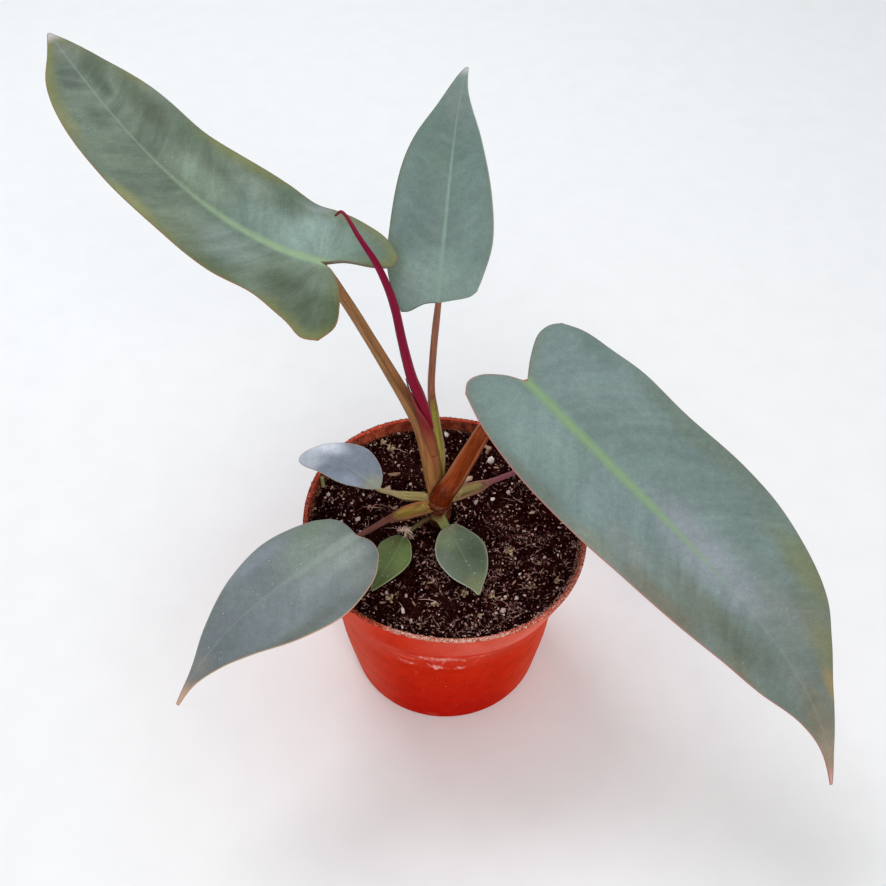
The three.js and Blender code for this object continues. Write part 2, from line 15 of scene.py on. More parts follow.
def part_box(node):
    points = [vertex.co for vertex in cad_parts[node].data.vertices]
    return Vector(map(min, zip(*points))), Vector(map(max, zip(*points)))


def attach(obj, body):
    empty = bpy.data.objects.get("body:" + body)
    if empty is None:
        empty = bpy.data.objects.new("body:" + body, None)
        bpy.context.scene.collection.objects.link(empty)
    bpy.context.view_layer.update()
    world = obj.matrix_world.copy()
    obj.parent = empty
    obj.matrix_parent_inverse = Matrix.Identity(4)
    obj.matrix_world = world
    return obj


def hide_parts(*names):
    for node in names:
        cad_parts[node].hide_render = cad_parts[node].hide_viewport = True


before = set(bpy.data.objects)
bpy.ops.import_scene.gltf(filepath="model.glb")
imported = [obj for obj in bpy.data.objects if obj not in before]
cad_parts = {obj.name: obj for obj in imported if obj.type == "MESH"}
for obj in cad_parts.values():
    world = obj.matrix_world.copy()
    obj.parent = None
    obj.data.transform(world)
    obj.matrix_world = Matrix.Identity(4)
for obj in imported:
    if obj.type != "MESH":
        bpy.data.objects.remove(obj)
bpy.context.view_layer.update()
MM = 0.001

# Pot and soil
POT_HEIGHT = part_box("pot")[1].z / MM
LIP_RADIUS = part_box("pot")[1].x / MM
LIP_WIDTH = 1.6
BAND_FOOT = POT_HEIGHT - 11
BODY_TOP_RADIUS = 50
WALL_TOP_RADIUS = BODY_TOP_RADIUS - 2.2
FOOT_RADIUS = 36.5
WALL = 1.3
FLOOR_THICKNESS = 1.8
DRAIN_HOLES = 8
DRAIN_RADIUS = 4
DRAIN_RING = 25
SOIL_LEVEL = 69.5
SOIL_RADIUS = LIP_RADIUS - LIP_WIDTH - 0.6
BANK_WIDTH = 9

# Stem
STEM_FOOT = (-1.5, 6.8)

# The camera stands where the photograph was taken from, in the millimetres of the model.
CAMERA_TARGET_HEIGHT = 78
CAMERA_DISTANCE = 404
CAMERA_ELEVATION = 51.3
CAMERA_DIP = 47.36
CAMERA_ROLL = -0.8
CAMERA_LENS = 45
CAMERA_SENSOR = 36

# The floor, in metres
FLOOR_HALF = 3.0
FLOOR_DROP = 0.0002


# Small sums on arrays
def unit(v):
    return v / np.linalg.norm(v, axis=-1, keepdims=True)


def ramp(value, low, high):
    """0 up to low, 1 from high on, and a smooth rise between."""
    share = np.clip((np.asarray(value, float) - low) / (high - low), 0, 1)
    return share * share * (3 - 2 * share)


def bell(value, width):
    return np.exp(-((np.asarray(value, float) / width) ** 2))


def noise_at(points, scale, octaves=3):
    """Smooth noise, about -1 to 1, at each point, with features about scale across."""
    flat = np.asarray(points, float).reshape(-1, 3) / scale
    made = [noise.fractal(p, 1.0, 2.0, octaves) for p in flat.tolist()]
    return np.array(made).reshape(np.shape(points)[:-1])


def curve_through(points, steps):
    """Samples a centripetal Catmull-Rom curve through points, with that many steps to a span."""
    p = np.asarray(points, float)
    p = np.vstack([2 * p[0] - p[1], p, 2 * p[-1] - p[-2]])
    u = np.linspace(0, 1, steps, endpoint=False)[:, None]
    spans = []
    for a, b, c, d in zip(p, p[1:], p[2:], p[3:]):
        g = [math.sqrt(np.linalg.norm(y - x)) for x, y in ((a, b), (b, c), (c, d))]
        leave = ((b - a) / g[0] - (c - a) / (g[0] + g[1]) + (c - b) / g[1]) * g[1]
        arrive = ((c - b) / g[1] - (d - b) / (g[1] + g[2]) + (d - c) / g[2]) * g[1]
        square = 3 * (c - b) - 2 * leave - arrive
        spans.append(b + leave * u + square * u**2 + (2 * (b - c) + leave + arrive) * u**3)
    return np.vstack([*spans, p[-2:-1]])


class Line:
    """A sampled line that is read by the length along it. Other values at its samples can be too."""

    def __init__(self, samples):
        self.samples = np.asarray(samples, float)
        steps = np.linalg.norm(np.diff(self.samples, axis=0), axis=1)
        self.at = np.concatenate([[0], np.cumsum(steps)])
        self.length = self.at[-1]

    def read(self, lengths, values=None):
        values = self.samples if values is None else values
        return np.stack([np.interp(lengths, self.at, column) for column in values.T], -1)


# Materials
class Shader:
    """One material's nodes. Each call adds a node and gives back its output."""

    def __init__(self, name, **sockets):
        self.material = bpy.data.materials.new(name)
        self.material.use_nodes = True
        self.tree = self.material.node_tree
        self.surface = self.tree.nodes["Principled BSDF"]
        for key, value in sockets.items():
            self.put(self.surface.inputs[key.replace("_", " ")], value)

    def put(self, socket, value):
        if isinstance(value, bpy.types.NodeSocket):
            self.tree.links.new(value, socket)
        elif socket.type == "RGBA":
            socket.default_value = (*value, 1)
        else:
            socket.default_value = value

    def add(self, kind, inputs, output=0, **settings):
        node = self.tree.nodes.new("ShaderNode" + kind)
        for key, value in settings.items():
            setattr(node, key, value)
        for key, value in inputs.items():
            self.put(node.inputs[key], value)
        return node.outputs[output]

    def math(self, operation, a, b=0.0):
        return self.add("Math", {0: a, 1: b}, operation=operation)

    def times(self, *factors):
        product = factors[0]
        for factor in factors[1:]:
            product = self.math("MULTIPLY", product, factor)
        return product

    def ramp(self, value, low, high, start=0.0, end=1.0):
        inputs = {"Value": value, "From Min": low, "From Max": high, "To Min": start, "To Max": end}
        return self.add("MapRange", inputs, interpolation_type="SMOOTHSTEP")

    def mix(self, share, a, b, blend="MIX"):
        return self.add("Mix", {0: share, 6: a, 7: b}, 2, data_type="RGBA", blend_type=blend)

    def place(self):
        return self.add("TexCoord", {}, "Object")

    def parts(self, vector):
        """The three numbers of a vector."""
        node = self.tree.nodes.new("ShaderNodeSeparateXYZ")
        self.tree.links.new(vector, node.inputs[0])
        return tuple(node.outputs)

    def split(self, name):
        """The three numbers that each vertex carries under this name."""
        return self.parts(self.add("Attribute", {}, "Vector", attribute_name=name))

    def join(self, x, y, z=0.0):
        return self.add("CombineXYZ", {0: x, 1: y, 2: z})

    def noise(self, vector, scale, detail=3.0, roughness=0.5):
        inputs = {"Vector": vector, "Scale": scale, "Detail": detail, "Roughness": roughness}
        return self.add("TexNoise", inputs)

    def bump(self, height, distance, strength=1.0):
        return self.add("Bump", {"Strength": strength, "Distance": distance, "Height": height})

    def finish(self, colour, roughness=None, normal=None):
        self.put(self.surface.inputs["Base Color"], colour)
        if roughness is not None:
            self.put(self.surface.inputs["Roughness"], roughness)
        if normal is not None:
            self.put(self.surface.inputs["Normal"], normal)
        return self.material


# Pieces
def make_piece(name, points, faces, material, replaced=(), marks=None, smooth=True):
    """A mesh from points in millimetres. marks are named arrays of three numbers a point."""
    mesh = bpy.data.meshes.new(name)
    faces = faces.tolist() if isinstance(faces, np.ndarray) else faces
    mesh.from_pydata((np.asarray(points) * MM).tolist(), [], faces)
    for key, values in (marks or {}).items():
        layer = mesh.attributes.new(key, "FLOAT_VECTOR", "POINT")
        layer.data.foreach_set("vector", np.asarray(values, np.float32).ravel())
    mesh.polygons.foreach_set("use_smooth", [smooth] * len(mesh.polygons))
    mesh.materials.append(material)
    piece = bpy.data.objects.new(name, mesh)
    bpy.context.scene.collection.objects.link(piece)
    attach(piece, "root")
    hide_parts(*replaced)


def grid_faces(rows, columns, start=0):
    """Quads of a grid of points, row by row."""
    a = (np.arange(rows)[:, None] * (columns + 1) + np.arange(columns)).ravel() + start
    return np.stack([a, a + 1, a + columns + 2, a + columns + 1], 1)


def band_faces(a, b):
    """Quads between two closed rings of point numbers."""
    return np.stack([a, b, np.roll(b, -1), np.roll(a, -1)], 1)


def tube_faces(rings, size, start=0):
    """Quads of a tube whose rings of size points each follow one another."""
    ring = start + np.arange(size)
    return np.vstack([band_faces(ring + k * size, ring + (k + 1) * size) for k in range(rings - 1)])


def border(numbers):
    """The point numbers round the edge of a grid, in order."""
    return np.concatenate([numbers[0], numbers[1:, -1], numbers[-1, -2::-1], numbers[-2:0:-1, 0]])


# The camera, the lights and the floor
def make_camera():
    tilt, dip, roll = (math.radians(x) for x in (CAMERA_ELEVATION, CAMERA_DIP, CAMERA_ROLL))
    place = Vector((0, -math.cos(tilt), math.sin(tilt))) * CAMERA_DISTANCE
    place.z += CAMERA_TARGET_HEIGHT
    back = Vector((0, -math.cos(dip), math.sin(dip)))
    level = Vector((1, 0, 0))
    upward = back.cross(level)
    right = level * math.cos(roll) + upward * math.sin(roll)
    upward = upward * math.cos(roll) - level * math.sin(roll)
    camera = bpy.data.objects.new("camera", bpy.data.cameras.new("camera"))
    camera.data.lens = CAMERA_LENS
    camera.data.sensor_width = CAMERA_SENSOR
    camera.data.clip_start = 0.01
    turned = Matrix((right, upward, back)).transposed().to_4x4()
    camera.matrix_world = Matrix.Translation(place * MM) @ turned
    bpy.context.scene.collection.objects.link(camera)
    bpy.context.scene.camera = camera


# Each lamp: place in metres, size in metres, power in watts and colour
LAMPS = {
    "key_lamp": ((-0.3, 0.5, 1.05), 0.55, 6.2, (0.92, 0.96, 1.0)),
    "front_lamp": ((0.25, -0.95, 0.85), 0.6, 6.4, (1.0, 0.99, 0.97)),
}
SKY_ZENITH = 0.62
SKY_HORIZON = 0.26


def make_lamp(name, place, size, power, colour):
    """A square lamp that faces the middle of the plant."""
    lamp = bpy.data.lights.new(name, "AREA")
    lamp.size = size
    lamp.energy = power
    lamp.color = colour
    ob = bpy.data.objects.new(name, lamp)
    ob.location = place
    ob.rotation_mode = "QUATERNION"
    ob.rotation_quaternion = (Vector(place) - Vector((0, 0, 0.1))).to_track_quat("Z", "Y")
    bpy.context.scene.collection.objects.link(ob)


def make_sky():
    """Pale light from every side, brightest overhead."""
    world = bpy.data.worlds.new("studio")
    world.use_nodes = True
    nodes, link = world.node_tree.nodes, world.node_tree.links.new
    height = nodes.new("ShaderNodeSeparateXYZ")
    strength = nodes.new("ShaderNodeMapRange")
    link(nodes.new("ShaderNodeTexCoord").outputs["Generated"], height.inputs[0])
    link(height.outputs["Z"], strength.inputs["Value"])
    strength.inputs["To Min"].default_value = SKY_HORIZON
    strength.inputs["To Max"].default_value = SKY_ZENITH
    link(strength.outputs[0], nodes["Background"].inputs["Strength"])
    nodes["Background"].inputs["Color"].default_value = (0.95, 0.98, 1.0, 1)
    bpy.context.scene.world = world


def make_floor():
    shader = Shader("floor", Roughness=0.9, Specular_IOR_Level=0.2)
    speck = shader.noise(shader.place(), 60, 5)
    material = shader.finish(shader.mix(speck, (0.88, 0.88, 0.88), (0.94, 0.94, 0.94)))
    mesh = bpy.data.meshes.new("floor")
    corners = [(-1, -1), (1, -1), (1, 1), (-1, 1)]
    mesh.from_pydata([(FLOOR_HALF * x, FLOOR_HALF * y, 0) for x, y in corners], [], [(0, 1, 2, 3)])
    mesh.materials.append(material)
    floor = bpy.data.objects.new("floor", mesh)
    floor.location.z = -FLOOR_DROP
    bpy.context.scene.collection.objects.link(floor)


def make_studio():
    make_sky()
    make_floor()
    for name, lamp in LAMPS.items():
        make_lamp(name, *lamp)
    bpy.context.scene.view_settings.view_transform = "Standard"


# The leaves' shapes, in the same numbers as the model's own source. spine is the midrib's Bezier
# curve, and faces are the directions of the upper side at its two ends. fold is in degrees, and
# wave is its height, its length, its phase and how far from the midrib it has that height. A
# petiole's station is its x, y and z, its half width and half thickness, and how open its sheath is.
LEAVES = {
    "right_leaf": dict(
        spine=[(28.6, 14.9, 133), (80, -39, 107), (122, -68, 89), (127.4, -88.4, 44)],
        faces=[(0.2, -0.54, 0.82), (0.12, -0.58, 0.8)],
        fold=10, curl_radius=165, wave=(0.7, 52, 0.4, 26),
        right_sinus=[(0, 0), (-6.3, 4.4), (-11.6, 11.1), (-12.4, 16), (-9.5, 19.8)],
        right_margin=[
            (-9.5, 19.8), (1.6, 23.2), (15.6, 25.2), (32.7, 26.1), (50.5, 26), (67.1, 24.3),
            (92.3, 21.9), (108.9, 18.6), (126.9, 14.2), (144.5, 6.7), (157.6, 2.6), (173.4, 0.4),
        ],
        left_sinus=[(0, 0), (-6, -7.2), (-10, -14.5), (-9.7, -19.5), (-7.5, -23.1)],
        left_margin=[
            (-7.5, -23.1), (-0.4, -26.6), (11.9, -28.6), (27.1, -31.2), (51, -30.8), (84, -31.5),
            (99.4, -28.3), (117.1, -22.2), (127.4, -15.9), (140.9, -8.5), (160.2, -2.1), (173.4, -0.4),
        ],
        petiole=[
            (-1.7, 8.6, 75.5, 3.4, 3.2, 0), (-1.4, 7.7, 80, 4.2, 3.7, 0), (0.2, 7.8, 84, 4.1, 3.5, 0.12),
            (3.3, 8.3, 89, 3.7, 3.3, 0.4),
            (8.1, 9.1, 100, 3.3, 3, 0.5), (13.9, 10, 113, 2.9, 2.7, 0.3), (21.2, 12.2, 124.5, 2.4, 2.3, 0.1),
        ],
        opens=(-0.35, -0.8, 0.5),
    ),
    "upper_left_leaf": dict(
        spine=[(-38.4, 32, 171), (-83, 45, 174), (-117, 88, 203), (-139.6, 126.2, 202)],
        faces=[(0.06, -0.26, 0.96), (0.1, -0.3, 0.95)],
        fold=8, curl_radius=190, wave=(0.7, 48, 1.2, 22),
        right_sinus=[(0, 0), (-7.4, 2.1), (-17.4, 2.6), (-22.6, 4), (-24, 7.4)],
        right_margin=[
            (-24, 7.4), (-18.5, 13.3), (-9.4, 17.4), (0.3, 20.1), (10.5, 20.8), (26, 23), (50, 21.8),
            (69.1, 19.5), (88.1, 17.8), (101.1, 15.6), (119.3, 9.5), (136.6, 3.6), (144.9, 0.4),
        ],
        left_sinus=[
            (0, 0), (-3.8, -1.7), (-6.8, -5), (-9.5, -9.8), (-11.6, -15.4), (-12.9, -23.5), (-9.5, -30.1),
        ],
        left_margin=[
            (-9.5, -30.1), (-4.1, -30.8), (3.6, -25.2), (14.3, -20), (28.8, -19.3), (46.6, -18.2),
            (74.3, -17.5), (97.1, -16.3), (116.4, -12.1), (131.3, -5.3), (144.9, -0.4),
        ],
        petiole=[
            (-2, 9.4, 73.5, 3.6, 3, 0), (-2.6, 11.6, 80, 3.8, 3, 0), (-3.5, 13.3, 86, 4, 3, 0),
            (-5.1, 16.3, 97, 4, 2.9, 0.04), (-8.4, 19.3, 110, 3.4, 2.6, 0.18),
            (-15.3, 22.6, 124, 2.3, 2, 0.25), (-24, 26.5, 142, 2, 1.8, 0.15),
            (-31.5, 29.5, 157, 1.9, 1.8, 0.1),
        ],
        opens=(0.75, -0.5, 0.4),
    ),
    "upper_leaf": dict(
        spine=[(-1, 34.6, 151), (3, 54, 182), (6, 76, 206), (10.1, 90.6, 206)],
        faces=[(-0.05, -0.66, 0.75), (0, -0.55, 0.83)],
        fold=6, curl_radius=150, wave=(0.4, 40, 0.2, 16),
        right_sinus=[(0, 0), (1.1, 4), (3.2, 10.5), (5.1, 12.7)],
        right_margin=[
            (5.1, 12.7), (10.2, 14.2), (21.6, 16.3), (36.9, 14.4), (54.5, 9.1), (70.1, 2.6), (81.1, 0.4),
        ],
        left_sinus=[(0, 0), (-0.8, -4.3), (-4, -9.8), (-4.3, -12.2)],
        left_margin=[
            (-4.3, -12.2), (-0.4, -14.4), (10, -18), (25.1, -18.4), (42, -16.6), (52.6, -13.4),
            (66.1, -6.3), (81.1, -0.4),
        ],
        petiole=[
            (-1.4, 9.8, 77, 2.4, 2.2, 0), (-1.6, 13.6, 86, 2, 1.9, 0.3), (-1.5, 17.5, 96, 1.9, 1.8, 0.45),
            (-3.1, 23, 107.5, 1.8, 1.7, 0.45), (-3.9, 27, 118, 1.3, 1.3, 0.1), (-3, 30.9, 131, 1.25, 1.25, 0),
            (-1.9, 33.5, 142, 1.25, 1.25, 0),
        ],
        opens=(0.4, -0.8, 0.3),
    ),
    "lower_left_leaf": dict(
        spine=[(-29.8, -19.2, 94), (-57, -42, 95), (-74, -52, 91), (-87.8, -70.5, 71)],
        faces=[(-0.08, -0.36, 0.93), (-0.12, -0.42, 0.9)],
        fold=13, curl_radius=130, wave=(0.4, 38, 0.8, 18),
        right_sinus=[(0, 0), (0.7, 4.3), (2, 7.3), (4.5, 9.7)],
        right_margin=[
            (4.5, 9.7), (10.9, 12.5), (27.1, 14.8), (42.4, 12.2), (57.3, 6.8), (70.5, 2), (83.1, 0.5),
        ],
        left_sinus=[(0, 0), (-2.2, -4.2), (-2.3, -7.4), (-1.1, -10.6)],
        left_margin=[
            (-1.1, -10.6), (5.2, -16.8), (14.3, -20.6), (23.2, -21.8), (39.5, -18.9), (54.2, -11.9),
            (64.5, -6.5), (75.1, -1.9), (83.1, -0.5),
        ],
        petiole=[
            (-2.4, 8.2, 75.5, 1.8, 1.8, 0), (-8, 4.2, 79.2, 2.6, 2.4, 0.4), (-14.1, 0, 81.7, 2.6, 2.3, 0.5),
            (-20.4, -6, 85.4, 1.2, 1.2, 0.1), (-25.4, -12.6, 89, 1.05, 1.05, 0),
        ],
        opens=(0, -0.5, 0.85),
    ),
    "left_leaf": dict(
        spine=[(-23.3, 9.8, 84), (-33.9, 13.5, 89.6), (-37.2, 21.3, 92.4), (-54.1, 22.8, 86)],
        faces=[(0, -0.22, 0.98), (0, -0.22, 0.98)],
        fold=8, curl_radius=75, wave=(0, 40, 0, 8),
        right_sinus=[(0, 0), (0.4, 2.4), (1.7, 5.2)],
        right_margin=[(1.7, 5.2), (5.1, 7.7), (13, 9.8), (22.6, 7), (30, 4.2), (33.8, 2.2), (35.1, 0.4)],
        left_sinus=[(0, 0), (1.5, -1.2), (4.5, -3.3)],
        left_margin=[(4.5, -3.3), (12.6, -7.1), (18.6, -7.4), (29.6, -4.6), (33.8, -2.2), (35.1, -0.4)],
        petiole=[
            (-3, 9.6, 77, 1.6, 1.6, 0), (-8, 9.6, 79, 1.9, 1.7, 0.3), (-14, 8.9, 80.8, 1.8, 1.6, 0.3),
            (-19, 9.4, 82.2, 1, 1, 0),
        ],
        opens=(0, -0.4, 0.9),
    ),
    "front_leaf": dict(
        spine=[(1, -2.8, 77), (4.4, -11.7, 79.3), (9.9, -23.3, 76.8), (11.8, -31.1, 74)],
        faces=[(0.05, -0.3, 0.95), (0.05, -0.3, 0.95)],
        fold=8, curl_radius=100, wave=(0, 40, 0, 8),
        right_sinus=[(0, 0), (1, 2.7), (3.8, 5.4)],
        right_margin=[(3.8, 5.4), (7.7, 7.8), (13.5, 9.2), (21.6, 7), (28.1, 1.8), (30.5, 0.4)],
        left_sinus=[(0, 0), (-0.2, -2.5), (2.7, -4.9)],
        left_margin=[(2.7, -4.9), (10.8, -8.4), (15, -8.8), (22.4, -6.2), (28.4, -1.8), (30.5, -0.4)],
        petiole=[
            (-2, 6.2, 72.8, 2.6, 1.6, 0), (-1.9, 3.4, 75.8, 3.2, 1.4, 0.3), (-0.9, 0.6, 76.8, 2, 1.1, 0.3),
        ],
        opens=(0, -0.4, 0.9),
    ),
    "small_leaf": dict(
        spine=[(-14.6, -5.9, 75.5), (-16, -13.7, 77.8), (-21, -21.5, 77.5), (-25.8, -29.1, 74.5)],
        faces=[(-0.05, -0.3, 0.95), (-0.05, -0.3, 0.95)],
        fold=8, curl_radius=100, wave=(0, 40, 0, 8),
        right_sinus=[(0, 0), (-0.5, 2.3), (2.1, 4.7)],
        right_margin=[(2.1, 4.7), (6.7, 6.6), (11, 6.6), (18, 3.9), (24, 1.1), (26, 0.4)],
        left_sinus=[(0, 0), (0.9, -1.7), (3.1, -3.4)],
        left_margin=[(3.1, -3.4), (9.5, -6.2), (13.5, -6), (20.4, -3.3), (26, -0.4)],
        petiole=[(-3.6, 5.6, 73.4, 1, 1, 0), (-7.6, 1.4, 75.4, 0.9, 0.9, 0), (-11.6, -2.8, 76, 0.8, 0.8, 0)],
        opens=(0, -0.4, 0.9),
    ),
    "hidden_leaf": dict(
        spine=[(37.6, 6, 103.5), (58, -9, 108), (78, -24, 100), (90, -33.5, 84)],
        faces=[(0.1, -0.42, 0.9), (0.14, -0.46, 0.88)],
        fold=8, curl_radius=130, wave=(0.4, 38, 2, 16),
        right_sinus=[(0, 0), (-0.8, 4.2), (-2.8, 8.6), (-1.2, 12)],
        right_margin=[(-1.2, 12), (8, 15.4), (22, 16.4), (40, 13), (56, 6.4), (68.5, 0.4)],
        left_sinus=[(0, 0), (-0.8, -4.2), (-2.8, -8.6), (-1.2, -12)],
        left_margin=[(-1.2, -12), (8, -15.4), (22, -16.4), (40, -13), (56, -6.4), (68.5, -0.4)],
        petiole=[
            (-0.4, 11, 76, 1.9, 1.8, 0), (6, 11.4, 79.5, 2.8, 2.3, 0.4), (12.6, 9.8, 84.4, 2.3, 2, 0.4),
            (17.4, 8.4, 89, 1, 1, 0), (25.5, 6.8, 95.6, 0.9, 0.9, 0), (32.5, 6.4, 101, 0.9, 0.9, 0),
        ],
        opens=(0.2, -0.5, 0.8),
    ),
}

